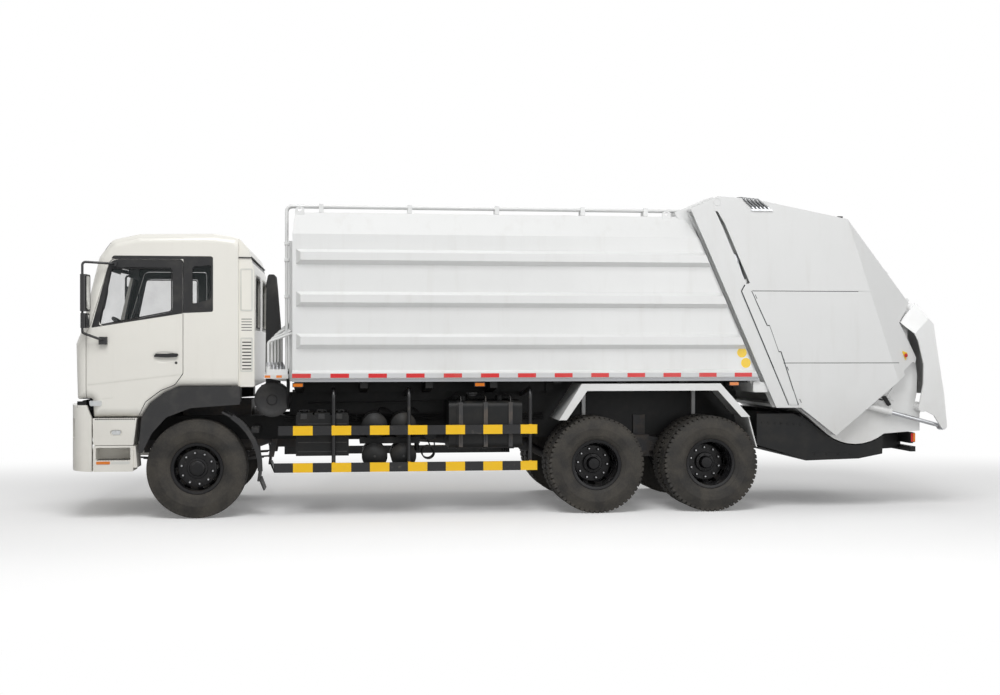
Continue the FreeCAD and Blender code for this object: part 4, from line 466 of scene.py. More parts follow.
def tyreShape(bm, steer):
    half, top = tyre["half"], tyre["radius"]
    floor = top - 0.017
    side = [(0.088, tyre["bead"]), (0.0965, 0.268), (0.0985, 0.2815), (0.106, 0.2835), (0.111, 0.292),
            (0.1165, 0.297), (0.124, 0.322), (0.1285, 0.324), (0.1345, 0.350), (0.1395, 0.378),
            (half - 0.0012, 0.398), (half - 0.0002, 0.402), (half - 0.0002, 0.410), (half - 0.0014, 0.414),
            (0.1390, 0.436), (0.1385, 0.440), (0.1340, 0.462), (0.1332, 0.466), (0.1275, 0.488), (0.1255, 0.500)]
    if steer:
        crown = [(0.1235, 0.516), (0.119, 0.5255), (0.112, 0.5305)]
        for middle in (0.073, 0.026):
            crown += [(middle + 0.006, top - 0.002), (middle + 0.0045, floor), (middle - 0.0045, floor),
                      (middle - 0.006, top - 0.002)]
        crown += [(0.0, top)]
    else:
        crown = [(0.1235, 0.506), (0.119, 0.514), (0.050, floor), (0.046, top - 0.001), (0.0055, top - 0.0005),
                 (0.0045, floor)]
    path = side + crown
    path = path + [(-y, r) for y, r in reversed(path) if y > 0]
    spun(bm, path, tyre["steps"], closed=True)
    for way in (-1, 1):
        if steer:  # short bars that leave a notch between them at the shoulder
            made = block(bm, (-0.0215, 0.106, 0.503), (0.0215, 0.1262, 0.5285), 0.003)
            count = tyre["notches"]
        else:
            made = block(bm, (-0.0215, 0.056, 0.510), (0.0215, 0.1258, 0.5325), 0.0035)
            bmesh.ops.translate(bm, vec=(0, 0, -0.012), verts=[v for v in made if v.co.y > 0.118 and v.co.z < 0.52])
            bmesh.ops.rotate(bm, cent=(0, 0.09, 0.52), matrix=Matrix.Rotation(way * 0.16, 3, "Z"), verts=made)
            count = tyre["lugs"]
        bmesh.ops.scale(bm, vec=(1, way, 1), verts=made)
        bmesh.ops.rotate(bm, cent=(0, 0, 0), matrix=Matrix.Rotation(0.0 if way > 0 else math.pi / count, 3, "Y"),
                         verts=made)
        ringOf(bm, made, count)
    if not steer:
        for row, lean in ((0.0255, 0.35), (-0.0255, -0.35)):  # cuts across the middle ribs, filled as raised bars
            made = block(bm, (-0.016, row - 0.019, floor - 0.004), (0.016, row + 0.019, top - 0.0002), 0.003)
            bmesh.ops.rotate(bm, cent=(0, row, 0.5), matrix=Matrix.Rotation(lean, 3, "Z"), verts=made)
            ringOf(bm, made, tyre["lugs"])
    bmesh.ops.recalc_face_normals(bm, faces=bm.faces)


def meshOf(shape, *options):
    # a shape that is made once and set on several hubs
    bm = bmesh.new()
    shape(bm, *options)
    mesh = bpy.data.meshes.new("pattern")
    bm.to_mesh(mesh)
    bm.free()
    return mesh


def placed(bm, mesh, move, flip=1, turn=0.0):
    # adds a copy of a finished shape; flip -1 faces it the other way along Y
    start = len(bm.verts)
    bm.from_mesh(mesh)
    bm.verts.ensure_lookup_table()
    verts = bm.verts[start:]
    if turn:
        bmesh.ops.rotate(bm, cent=(0, 0, 0), matrix=Matrix.Rotation(turn, 3, "Y"), verts=verts)
    if flip < 0:
        bmesh.ops.rotate(bm, cent=(0, 0, 0), matrix=Matrix.Rotation(math.pi, 3, "Z"), verts=verts)
    bmesh.ops.translate(bm, vec=move, verts=verts)


# Rims: y grows away from the truck, and the nuts sit on the disc's face at "front" or "twin"
rim = {"steps": 80, "holes": 10, "nuts": 10, "nutCircle": 0.1675, "nut": 0.0175, "stud": 0.0098,
       "edge": 0.0998, "sheet": 0.009, "front": 0.0500, "twin": -twinGap / 2 + 0.002}


def hoop(bm):
    # the pressed rim of one tyre, with its rolled lips
    edge = rim["edge"]
    path = [(-edge, 0.238), (-edge - 0.003, 0.262), (-edge - 0.0035, 0.276), (-edge + 0.001, 0.2795),
            (-edge + 0.004, 0.276), (-edge + 0.006, 0.2625), (-edge + 0.012, 0.2605), (-0.04, 0.2605),
            (-0.02, 0.250), (0.02, 0.250), (0.045, 0.2605), (edge - 0.012, 0.2605), (edge - 0.006, 0.2625),
            (edge - 0.004, 0.276), (edge - 0.001, 0.2795), (edge + 0.0035, 0.276), (edge + 0.003, 0.262),
            (edge, 0.246), (edge - 0.02, 0.2395), (-edge + 0.02, 0.2372)]
    spun(bm, path, rim["steps"], closed=True)


def disc(bm, path, holeFrom, holeTo):
    # a dished plate with hand holes: faces between two radii are opened in turn, then the sheet gets its thickness
    before = set(bm.faces)
    spun(bm, path, rim["steps"])
    each = rim["steps"] // rim["holes"]
    opened = []
    sheet = [face for face in bm.faces if face not in before]
    for face in sheet:
        middle = face.calc_center_median()
        reach = math.hypot(middle.x, middle.z)
        step = int((math.atan2(middle.x, middle.z) % math.tau) / math.tau * rim["steps"])
        if holeFrom < reach < holeTo and step % each in (2, 3, 4, 5):
            opened.append(face)
    bmesh.ops.delete(bm, geom=opened, context="FACES")
    edge = [v for v in bm.verts if v.is_boundary and holeFrom - 0.01 < math.hypot(v.co.x, v.co.z) < holeTo]
    for times in range(2):
        bmesh.ops.smooth_vert(bm, verts=edge, factor=0.5, use_axis_x=True, use_axis_y=True, use_axis_z=True)
    bmesh.ops.solidify(bm, geom=[face for face in sheet if face.is_valid], thickness=rim["sheet"])


def fastening(bm, seat):
    # wheel nuts with their washers, on the disc's outer face at y = seat
    made = turned(bm, (0, seat - 0.001, rim["nutCircle"]), (0, seat + 0.004, rim["nutCircle"]), rim["nut"] * 1.22, 14)
    made += turned(bm, (0, seat + 0.003, rim["nutCircle"]), (0, seat + 0.021, rim["nutCircle"]), rim["nut"], 6,
                   rim["nut"] * 0.93)
    ringOf(bm, made, rim["nuts"])


def studs(bm, seat, tip=0.034):
    # the threaded ends that stand out of the nuts
    made = turned(bm, (0, seat + 0.019, rim["nutCircle"]), (0, seat + tip - 0.003, rim["nutCircle"]), rim["stud"], 12)
    made += turned(bm, (0, seat + tip - 0.003, rim["nutCircle"]), (0, seat + tip, rim["nutCircle"]), rim["stud"], 12,
                   rim["stud"] * 0.7)
    ringOf(bm, made, rim["nuts"])


def frontRim(bm):
    # rim, disc, hub cap and brake drum
    hoop(bm)
    disc(bm, [(0.050, 0.090), (0.050, 0.150), (0.0500, 0.198), (0.046, 0.206), (0.040, 0.2125), (0.026, 0.226),
              (0.004, 0.236), (-0.006, 0.2395)], 0.207, 0.2355)
    spun(bm, [(0.040, 0.112), (0.057, 0.112), (0.062, 0.108), (0.064, 0.086), (0.071, 0.081), (0.083, 0.078),
              (0.0865, 0.072), (0.0875, 0.05), (0.088, 0.0)], 48)
    spun(bm, [(-0.058, 0.204), (-0.056, 0.206), (0.008, 0.206), (0.012, 0.202), (0.012, 0.11)], 64)
    spun(bm, [(-0.058, 0.204), (-0.058, 0.046)], 64)
    fastening(bm, rim["front"])
    cap = turned(bm, (0, 0.0835, 0.062), (0, 0.0880, 0.062), 0.0062, 6)
    ringOf(bm, cap, 6)
    bmesh.ops.recalc_face_normals(bm, faces=bm.faces)


def twinRim(bm):
    # y is 0 at the outer tyre's middle
    hoop(bm)
    copy = bmesh.ops.duplicate(bm, geom=bm.verts[:] + bm.edges[:] + bm.faces[:])["geom"]
    bmesh.ops.translate(bm, vec=(0, -twinGap, 0), verts=[g for g in copy if isinstance(g, bmesh.types.BMVert)])
    seat = rim["twin"]
    disc(bm, [(seat, 0.110), (seat, 0.150), (seat, 0.196), (seat + 0.006, 0.205), (seat + 0.016, 0.213),
              (seat + 0.052, 0.227), (seat + 0.105, 0.2365), (seat + 0.125, 0.239)], 0.206, 0.234)
    spun(bm, [(seat - 0.016, 0.113), (seat + 0.030, 0.110), (seat + 0.038, 0.104), (seat + 0.040, 0.074),
              (seat + 0.048, 0.070), (seat + 0.104, 0.066), (seat + 0.112, 0.058), (seat + 0.114, 0.0)], 48)
    spun(bm, [(seat - 0.020, 0.110), (seat - 0.020, 0.196), (seat - 0.034, 0.213), (seat - 0.13, 0.236)], 64)
    spun(bm, [(-0.444, 0.203), (-0.442, 0.206), (-0.258, 0.206), (-0.254, 0.202), (-0.254, 0.11)], 64)
    spun(bm, [(-0.444, 0.203), (-0.444, 0.046)], 64)
    fastening(bm, seat)
    cap = turned(bm, (0, seat + 0.036, 0.090), (0, seat + 0.052, 0.090), 0.0085, 6)
    ringOf(bm, cap, 8)
    bmesh.ops.recalc_face_normals(bm, faces=bm.faces)


def addWheels():
    steerTyre, driveTyre = meshOf(tyreShape, True), meshOf(tyreShape, False)
    frontShape, twinShape = meshOf(frontRim), meshOf(twinRim)
    frontStuds, twinStuds = meshOf(studs, rim["front"]), meshOf(studs, rim["twin"])
    random.seed(4)
    for axle, (x, outer) in wheelPlaces.items():
        twin = axle != "front"
        several = "s" if twin else ""
        for side, way in (("left", -1), ("right", 1)):
            body = f"{axle}_{side}_wheel{several}"
            move = Vector((axleX + x, way * outer, tyre["radius"]))
            turn = random.uniform(0, 0.6)
            bm = bmesh.new()
            placed(bm, driveTyre if twin else steerTyre, move, way, turn)
            if twin:
                placed(bm, driveTyre, move - Vector((0, way * twinGap, 0)), way, turn + 0.05)
            made = toObject(bm, f"{axle}Tyre{several}{side.title()}", rubber, body, 32)
            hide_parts(f"tyre{several}_{axle}_{side}")
            bm = bmesh.new()
            placed(bm, twinShape if twin else frontShape, move, way, turn)
            made = toObject(bm, f"{axle}Wheel{several}{side.title()}", rimBlack, body, 32)
            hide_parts(f"wheel{several}_{axle}_{side}")
            bm = bmesh.new()
            placed(bm, twinStuds if twin else frontStuds, move, way, turn)
            toObject(bm, f"{axle}Studs{side.title()}", studSteel, body, 40)


studSteel = steelFinish("studSteel", (0.72, 0.72, 0.74), 0.28)
addWheels()
print("wheels and tyres")


# Shapes for details. Lengths run from the front axle in metres, and piece() puts them in the frame

planes = {"side": lambda a, b, d: Vector((a, d, b)), "front": lambda a, b, d: Vector((d, a, b)),
          "top": lambda a, b, d: Vector((a, b, d))}


def eased(points, radius, closed=True, steps=4):
    # a run of points with its corners rounded off
    points, done = [Vector(p) for p in points], []
    for i, here in enumerate(points):
        r = radius[i] if isinstance(radius, (list, tuple)) else radius
        if not r or (not closed and i in (0, len(points) - 1)):
            done.append(here)
            continue
        back, ahead = points[i - 1] - here, points[(i + 1) % len(points)] - here
        cut = min(r, back.length * 0.48, ahead.length * 0.48)
        start, end = here + back.normalized() * cut, here + ahead.normalized() * cut
        for k in range(steps + 1):
            t = k / steps
            done.append(start * (1 - t) ** 2 + here * (2 * t * (1 - t)) + end * t * t)
    return done


def panel(bm, plane, points, near, far, holes=(), radius=0.0, holeRadius=0.0):
    # a plate through an outline in that plane, between two depths, with holes in it
    place, edges = planes[plane], []
    for loop, r in [(points, radius)] + [(hole, holeRadius) for hole in holes]:
        verts = [bm.verts.new(place(p[0], p[1], near)) for p in eased(loop, r)]
        edges += [bm.edges.new((verts[i - 1], verts[i])) for i in range(len(verts))]
    filled = bmesh.ops.triangle_fill(bm, use_beauty=True, edges=edges)["geom"]
    faces = [g for g in filled if isinstance(g, bmesh.types.BMFace)]
    grown = bmesh.ops.extrude_face_region(bm, geom=faces)["geom"]
    bmesh.ops.translate(bm, vec=place(0, 0, far) - place(0, 0, near),
                        verts=[g for g in grown if isinstance(g, bmesh.types.BMVert)])
    return list({v for f in faces if f.is_valid for v in f.verts}
                | {g for g in grown if isinstance(g, bmesh.types.BMVert)})


def skinned(bm, rings):
    # a closed skin over a run of rings that match point by point
    for one, two in zip(rings, rings[1:]):
        for k in range(len(one)):
            bm.faces.new((one[k - 1], one[k], two[k], two[k - 1]))
    bm.faces.new(rings[0])
    bm.faces.new(rings[-1][::-1])


def ringAt(bm, middle, across, other, radius, sides):
    angles = [math.tau * k / sides for k in range(sides)]
    return [bm.verts.new(middle + (across * math.cos(a) + other * math.sin(a)) * radius) for a in angles]


def corners(a0, b0, a1, b1):
    # the outline of a square plate between two opposite corners
    return [(a0, b0), (a1, b0), (a1, b1), (a0, b1)]


def tube(bm, points, radius, sides=10, bend=0.0, steps=5):
    # a round bar along a run of points
    path = eased(points, bend, False, steps) if bend else [Vector(p) for p in points]
    across, rings = None, []
    for i, here in enumerate(path):
        ahead = (path[min(i + 1, len(path) - 1)] - path[max(i - 1, 0)]).normalized()
        across = (ahead.orthogonal().normalized() if across is None
                  else (across - ahead * across.dot(ahead)).normalized())
        rings.append(ringAt(bm, here, across, ahead.cross(across), radius, sides))
    skinned(bm, rings)


def lathe(bm, start, end, profile, sides=24):
    # turns (distance, radius) points about the line from start towards end
    start, line = Vector(start), (Vector(end) - Vector(start)).normalized()
    across = line.orthogonal().normalized()
    skinned(bm, [ringAt(bm, start + line * far, across, line.cross(across), max(r, 1e-4), sides)
                 for far, r in profile])


def bolt(bm, at, toward, radius=0.009, height=0.006, washer=True):
    # a hexagon head on its washer
    at, toward = Vector(at), Vector(toward).normalized()
    if washer:
        turned(bm, at - toward * 0.001, at + toward * 0.0018, radius * 1.5, 12)
    turned(bm, at, at + toward * height, radius, 6, radius * 0.92)


def band(bm, points, widthVec, depthVec):
    # a flat strip along a run of points, with a thickness
    width, depth = Vector(widthVec), Vector(depthVec)
    skinned(bm, [[bm.verts.new(Vector(p) + s) for s in (Vector(), width, width + depth, depth)] for p in points])


def piece(name, finish, body, draw, ways=(-1,), smooth=35, stands=()):
    # draws a piece on the left side, and again on the right where ways holds 1
    done = []
    for way in ways:
        bm = bmesh.new()
        draw(bm)
        bmesh.ops.remove_doubles(bm, verts=bm.verts, dist=1e-6)
        if way > 0:
            bmesh.ops.scale(bm, vec=(1, -1, 1), verts=bm.verts)
        bmesh.ops.translate(bm, vec=(axleX, 0, 0), verts=bm.verts)
        bmesh.ops.recalc_face_normals(bm, faces=bm.faces)
        side = {-1: "left", 1: "right"}[way]
        made = toObject(bm, name + (side.title() if len(ways) > 1 else ""), finish, body.replace("SIDE", side),
                        smooth)
        if stands:
            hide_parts(*stands)
        done.append(made)
    return done


both = (-1, 1)
left, up = (0, -1, 0), (0, 0, 1)


# Cab outside

amberGlass = glassFinish("amberGlass", (0.85, 0.22, 0.01), 0.88)
redGlass = glassFinish("redGlass", (0.62, 0.012, 0.012), 0.9)
clearGlass = glassFinish("clearGlass", (0.82, 0.84, 0.85), 0.55)
mirrorGlass = steelFinish("mirrorGlass", (0.82, 0.84, 0.85), 0.04)
gasket = plasticFinish("blackGasket", (0.010, 0.010, 0.011), 0.42)
bowlChrome = steelFinish("lampChrome", (0.86, 0.87, 0.88), 0.08)
whitePlastic = plasticFinish("whitePlastic", (0.70, 0.70, 0.66), 0.4)
cab = {"side": -1.215, "film": 0.0014}


def noseX(y, z):
    # the bowed face of the nose and windscreen at a height
    share = 1 - (y / nose["half"]) ** 2
    low, high = nose["foot"] - nose["bow"] * share, nose["top"] - nose["topBow"] * share
    if z < nose["screenLow"]:
        return nose["upright"] - nose["bow"] * share + 0.016 * (1.88 - z) / 0.59
    return low + (high - low) * (z - nose["screenLow"]) / nose["screenRise"]


def doorFilm(bm):
    # the black surround of the door's window
    panel(bm, "side", [(-1.084, 2.046), (-0.1395, 2.200), (-0.1395, 2.7715), (-0.890, 2.7715)], cab["side"] + 0.001,
          cab["side"] - cab["film"],
          [[(-1.0105, 2.0635), (-0.2445, 2.2165), (-0.2445, 2.6885), (-0.8805, 2.6885)]], [0.012, 0.012, 0.03, 0.09],
          [0.04, 0.04, 0.04, 0.06])


def doorTrim(bm):
    # lock below the handle and the rubber run of the window
    lathe(bm, (-0.208, cab["side"] + 0.001, 1.674), (-0.208, -2, 1.674),
          [(0, 0.014), (0.003, 0.014), (0.005, 0.011), (0.005, 0.0)], 20)
    tube(bm, [(-1.000, -1.197, 2.075), (-0.256, -1.197, 2.2235), (-0.256, -1.197, 2.677), (-0.876, -1.197, 2.677),
              (-1.000, -1.197, 2.075)], 0.007, 6, 0.03)


def shellFilm(bm):
    # black band over the door and round the quarter window
    panel(bm, "side", [(-0.878, 2.7785), (-0.1328, 2.7785), (-0.1328, 2.204), (0.178, 2.219), (0.178, 2.800),
                       (0.160, 2.812), (-0.858, 2.812)],
          cab["side"] + 0.001, cab["side"] - cab["film"],
          [[(-0.038, 2.302), (0.156, 2.3515), (0.156, 2.718), (-0.038, 2.699)]],
          [0.01, 0.0, 0.01, 0.02, 0.02, 0.01, 0.02], 0.03)
    for x, z in ((-0.085, 2.26), (-0.085, 2.50), (-0.085, 2.74), (0.05, 2.262), (0.05, 2.758), (0.166, 2.27),
                 (0.166, 2.755)):
        lathe(bm, (x, cab["side"] - 0.001, z), (x, -2, z),
              [(0, 0.0085), (0.0025, 0.007), (0.0032, 0.003), (0.002, 0.0)], 12)


# Main and wide-angle mirror: outline across and up, and how far each sits behind the other
mirrors = {"glasses": [(-1.300, 2.236, -1.452, 2.582, 0.001), (-1.302, 2.056, -1.430, 2.180, -0.006)],
           "rims": [(-1.288, 2.223, -1.462, 2.594, 0.001), (-1.290, 2.046, -1.442, 2.190, -0.006)],
           "rim": 0.012, "back": -1.0850, "turnAt": -1.285, "turn": 0.0485}


def turnMirror(verts, shift):
    # the mirrors face a little towards the driver
    for v in verts:
        v.co.x += (v.co.y - mirrors["turnAt"]) * mirrors["turn"] + shift


def mirrorFaces(bm):
    for y0, z0, y1, z1, shift in mirrors["glasses"]:
        turnMirror(panel(bm, "front", corners(y0, z0, y1, z1), mirrors["back"], -1.0815, radius=0.02), shift)


def mirrorRims(bm):
    rim = mirrors["rim"]
    for y0, z0, y1, z1, shift in mirrors["rims"]:
        hole = corners(y0 - rim, z0 + rim, y1 + rim, z1 - rim)
        turnMirror(panel(bm, "front", corners(y0, z0, y1, z1), mirrors["back"], -1.0800, [hole], 0.024, 0.018), shift)


# Each wiper: both ends of its blade and its spindle, across the cab
wipers = {"each": [(-0.93, -0.36, -0.42), (-0.27, 0.30, 0.24), (0.36, 0.93, 0.87)], "spindle": 2.012, "blade": 2.085}


def bladesOf(bm, y0, y1, turnAt):
    # a wiper: arm from its spindle, and a blade that lies on the screen
    low, high = wipers["spindle"], wipers["blade"]
    base = Vector((noseX(turnAt, low) - 0.014, turnAt, low))
    lathe(bm, base + Vector((0.02, 0, 0)), base - Vector((1, 0, 0)),
          [(0, 0.020), (0.028, 0.018), (0.034, 0.009), (0.034, 0)], 16)
    middle = Vector((noseX((y0 + y1) / 2, high) - 0.030, (y0 + y1) / 2, high))
    tube(bm, [base - Vector((0.014, 0, 0)), base.lerp(middle, 0.25) - Vector((0.012, 0, 0)), middle], 0.0065, 8)
    line = [Vector((noseX(y, high) - 0.010, y, 2.075 + 0.020 * k / 8))
            for k, y in ((k, y0 + (y1 - y0) * k / 8) for k in range(9))]
    band(bm, line, (0, 0, 0.007), (-0.014, 0, 0))
    band(bm, [p + Vector((-0.014, 0, -0.003)) for p in line[2:7]], (0, 0, 0.013), (-0.006, 0, 0))


def noseTrim(bm):
    # scuttle below the screen, its wipers and the seal around the glass
    line = [Vector((noseX(y, 1.985) - 0.0018, y, 1.978)) for y in (-1.02 + 2.04 * k / 24 for k in range(25))]
    section = [Vector(s) for s in ((0.004, 0, 0), (-0.001, 0, 0), (0.0125, 0, 0.058), (0.018, 0, 0.058))]
    skinned(bm, [[bm.verts.new(p + s) for s in section] for p in line])
    for y0, y1, turnAt in wipers["each"]:
        bladesOf(bm, y0, y1, turnAt)


def noseSeams(bm):
    # shut lines of the front flap
    for z in (1.895, 1.315):
        line = [Vector((noseX(y, z) - 0.0008, y, z)) for y in (-1.00 + 2.0 * k / 24 for k in range(25))]
        band(bm, line, (0, 0, 0.006), (0.004, 0, 0))
    for y in (-1.005, 1.005):
        band(bm, [Vector((noseX(y, z) - 0.0008, y, z)) for z in (1.315, 1.5, 1.7, 1.901)], (0, 0.006, 0),
             (0.004, 0, 0))


screenLean = (0.197 - 0.057) / nose["screenRise"]


def screenFrit(bm):
    # black edge printed round the windscreen
    for y0, y1, z0, z1 in ((-1.03, 1.03, 2.046, 2.085), (-1.0, 1.0, 2.722, 2.768)):
        line = [Vector((noseX(y, z0) + 0.0165, y, z0)) for y in (y0 + (y1 - y0) * k / 20 for k in range(21))]
        lean = screenLean * (z1 - z0)
        band(bm, line, (lean, 0, z1 - z0), (0.003, 0, 0))


# Headlamps: place across and up and radius; each part lies on the bumper's bow, "lens", "shelf" or "ring" deep
headlamps = {"bowls": [(-1.010, 0.965, 0.062), (-0.872, 0.962, 0.050)],
             "rings": [(-1.010, 0.965, 0.070), (-0.872, 0.962, 0.056)],
             "lens": -1.389, "shelf": -1.352, "ring": -1.356, "bow": 9.0}


def lampBowls(bm):
    # reflectors behind the lenses, on the bumper's bowed face
    for y, z, r in headlamps["bowls"]:
        x = headlamps["lens"] + y * y / headlamps["bow"]
        lathe(bm, (x + 0.034, y, z), (x - 1, y, z),
              [(0, 0.012), (0.002, r * 0.5), (0.012, r * 0.85), (0.026, r), (0.029, r), (0.029, r * 0.94),
               (0.012, r * 0.7), (0.006, r * 0.4), (0.006, 0)], 32)


def lampInside(bm):
    # dark shelf behind the lenses, and a ring round each bowl
    shelf, ring, bow = headlamps["shelf"], headlamps["ring"], headlamps["bow"]
    line = [Vector((shelf + y * y / bow, y, 0.862)) for y in (-0.84 - 0.03 * k for k in range(10))]
    band(bm, line, (0, 0, 0.195), (0.005, 0, 0))
    for y, z, r in headlamps["rings"]:
        lathe(bm, (ring + y * y / bow, y, z), (-2, y, z), [(0, r), (0.01, r), (0.01, r * 0.9), (0, r * 0.9)], 32)


def lampSignal(bm):
    # turn signal at the bumper's corner
    panel(bm, "front", [(-1.088, 0.875), (-1.134, 0.875), (-1.142, 1.065), (-1.100, 1.062)], -1.250, -1.262,
          radius=0.01)


# Cab steps: reflector and pale strip below them, the lamp's bulbs, louvres as count, start and pitch,
# and the treads of each step with their inner end, height and chamfer too
cabSteps = {"low": 0.600, "high": 0.630, "amber": (-1.033, -0.892), "pale": (-0.886, -0.690),
            "bulbs": (-0.852, -0.808), "bulbHigh": 0.935, "louvres": (22, -1.046, 0.019),
            "lower": (12, -1.030, 0.028, -1.02, 0.6395, 0.6455, 0.002),
            "upper": (13, -1.040, 0.030, -1.16, 1.0875, 1.0925, 0.0015)}


def cabMarks(bm):
    # amber reflector below the steps
    x0, x1 = cabSteps["amber"]
    panel(bm, "side", corners(x0, cabSteps["low"], x1, cabSteps["high"]), cab["side"] + 0.001, cab["side"] - 0.005,
          radius=0.006)


def cabPale(bm):
    # pale strip beside it
    x0, x1 = cabSteps["pale"]
    panel(bm, "side", corners(x0, cabSteps["low"], x1, cabSteps["high"]), cab["side"] + 0.001, cab["side"] - 0.0012)


def stepGrip(bm):
    # louvres in the lower panel and the treads of the steps
    count, start, pitch = cabSteps["louvres"]
    for k in range(count):
        x = start + pitch * k
        panel(bm, "side", corners(x, 1.070, x + 0.013, 1.082), cab["side"] + 0.001, cab["side"] - 0.0010)
    for step in ("lower", "upper"):
        count, start, pitch, inner, z0, z1, edge = cabSteps[step]
        for k in range(count):
            x = start + pitch * k
            block(bm, (x, -1.205, z0), (x + 0.012, inner, z1), edge)


def stepLamp(bm):
    # lens of the lamp in the bumper's side
    panel(bm, "side", corners(-0.878, 0.911, -0.782, 0.959), cab["side"] + 0.017, cab["side"] + 0.004, radius=0.024)


def stepBulb(bm):
    # both bulbs behind it
    for x in cabSteps["bulbs"]:
        lathe(bm, (x, cab["side"] + 0.0175, cabSteps["bulbHigh"]), (x, -2, cabSteps["bulbHigh"]),
              [(0, 0.019), (0.003, 0.019), (0.004, 0.010), (0.002, 0)], 20)


def doorLamp(bm):
    # clear repeater at the door's lower corner
    panel(bm, "side", [(-1.098, 1.218), (-0.975, 1.218), (-0.975, 1.274), (-1.106, 1.274)], cab["side"] + 0.001,
          cab["side"] - 0.007, radius=0.014)


piece("doorSurround", gasket, "SIDE_door", doorFilm, both)
piece("doorTrim", gasket, "SIDE_door", doorTrim, both)
piece("quarterSurround", gasket, "cab", shellFilm, both)
piece("mirrorGlass", mirrorGlass, "SIDE_door", mirrorFaces, both)
piece("mirrorRims", gasket, "SIDE_door", mirrorRims, both)
piece("noseTrim", darkPlastic, "cab", noseTrim)
piece("noseSeams", gasket, "cab", noseSeams)
piece("screenFrit", gasket, "cab", screenFrit)
piece("lampBowls", bowlChrome, "truck", lampBowls, both)
piece("lampShelf", darkPlastic, "truck", lampInside, both)
piece("stepReflectors", amberGlass, "truck", cabMarks, both)
piece("cabPaleMarks", whitePlastic, "truck", cabPale, both)
piece("stepGrip", darkPlastic, "truck", stepGrip, both)
piece("stepLamp", clearGlass, "truck", stepLamp, both)
piece("stepBulb", bowlChrome, "truck", stepBulb, both)
piece("doorLamp", clearGlass, "SIDE_door", doorLamp, both)
piece("lampSignal", amberGlass, "truck", lampSignal, both)
print("cab outside")


# Load body: discs, side markers, lashings and the valve platform

discYellow = paintFinish("discYellow", (0.93, 0.62, 0.02), 0.2, 0.5, 0.2)
hoseRubber = blackFinish("hoseRubber", (0.014, 0.014, 0.015), 0.2, 0.5)
body = {"wall": -1.190, "floorSide": -1.214, "discs": [(6.012, 1.780), (6.058, 1.664)], "disc": 0.056,
        "markers": (1.020, 2.990, 5.860), "clips": (1.320, 2.290, 3.260, 4.230, 4.950),
        "roofPipes": (-0.985, -0.937, -0.889)}


def bodyDiscs(bm):
    # two yellow discs on the wall
    for x, z in body["discs"]:
        lathe(bm, (x, body["wall"] + 0.001, z), (x, -2, z),
              [(0, body["disc"]), (0.0018, body["disc"]), (0.0018, 0.0)], 40)


def bodyMarkers(bm):
    # lenses of the side markers
    for x in body["markers"]:
        panel(bm, "side", corners(x + 0.004, 1.4145, x + 0.106, 1.4485), body["floorSide"] + 0.004,
              body["floorSide"] - 0.004, radius=0.006)


def bodyMarkerCases(bm):
    # the dark frame round each
    for x in body["markers"]:
        panel(bm, "side", corners(x - 0.004, 1.408, x + 0.114, 1.455), body["floorSide"] + 0.006,
              body["floorSide"] - 0.0015, [corners(x + 0.003, 1.4135, x + 0.107, 1.4495)], 0.006, 0.005)


def platformTape(bm, keep):
    # amber and pale dashes on the valve platform's edge
    for k in range(4):
        if k % 2 == keep:
            x = 0.716 + 0.062 * k
            panel(bm, "side", corners(x, 1.508, x + 0.060, 1.536), -1.1205, -1.1192)


def platformFittings(bm):
    # unions at the pipes' feet, valve levers and the coils on the block
    for k in range(5):
        x, y = 0.750 + 0.032 * k, -1.060 + 0.075 * k
        for z in (1.628, 1.648):
            turned(bm, (x, y, z), (x, y, z + 0.014), 0.0265, 6)
        turned(bm, (x, y, 1.662), (x, y, 1.676), 0.021, 6)
        lathe(bm, (x + 0.055, y + 0.02, 1.600), (x + 0.055, y + 0.02, 2),
              [(0, 0.017), (0.034, 0.017), (0.038, 0.012), (0.05, 0.012), (0.05, 0)], 16)
        lathe(bm, (x + 0.095, y + 0.02, 1.600), (x + 0.095, y + 0.02, 2),
              [(0, 0.014), (0.026, 0.014), (0.03, 0.009), (0.044, 0.009), (0.044, 0)], 16)


def platformHoses(bm):
    # formed pipes from the block down to the frame
    for k in range(3):
        y = -1.03 + 0.09 * k
        tube(bm, [(0.95, y, 1.575), (0.962, y, 1.46), (0.955, y + 0.05, 1.28), (0.955, y + 0.22, 1.16)], 0.015, 10,
             0.09, 7)


def roofFastenings(bm):
    # wire clips over the pipes along the roof's edge, and the bolts of their feet
    half = [(0.021, 3.380), (0.021, 3.402), (0.012, 3.4085)]
    for x in body["clips"]:
        for y in body["roofPipes"]:
            tube(bm, [(x, y - off, z) for off, z in half] + [(x, y + off, z) for off, z in reversed(half)], 0.0032, 6)
        for y in (-1.000, -0.873):
            bolt(bm, (x - 0.014, y, 3.4078), up, 0.007, 0.004)


# the height given last is where painted shade begins: below it the sides' lower edge is coloured grey for the sill's
# shadowed channel
tape = {"side": 1.18, "low": 1.509, "high": 1.555, "start": 1.014, "pitch": 0.408, "red": 0.2, "paintedShadeBelow": 1.500}


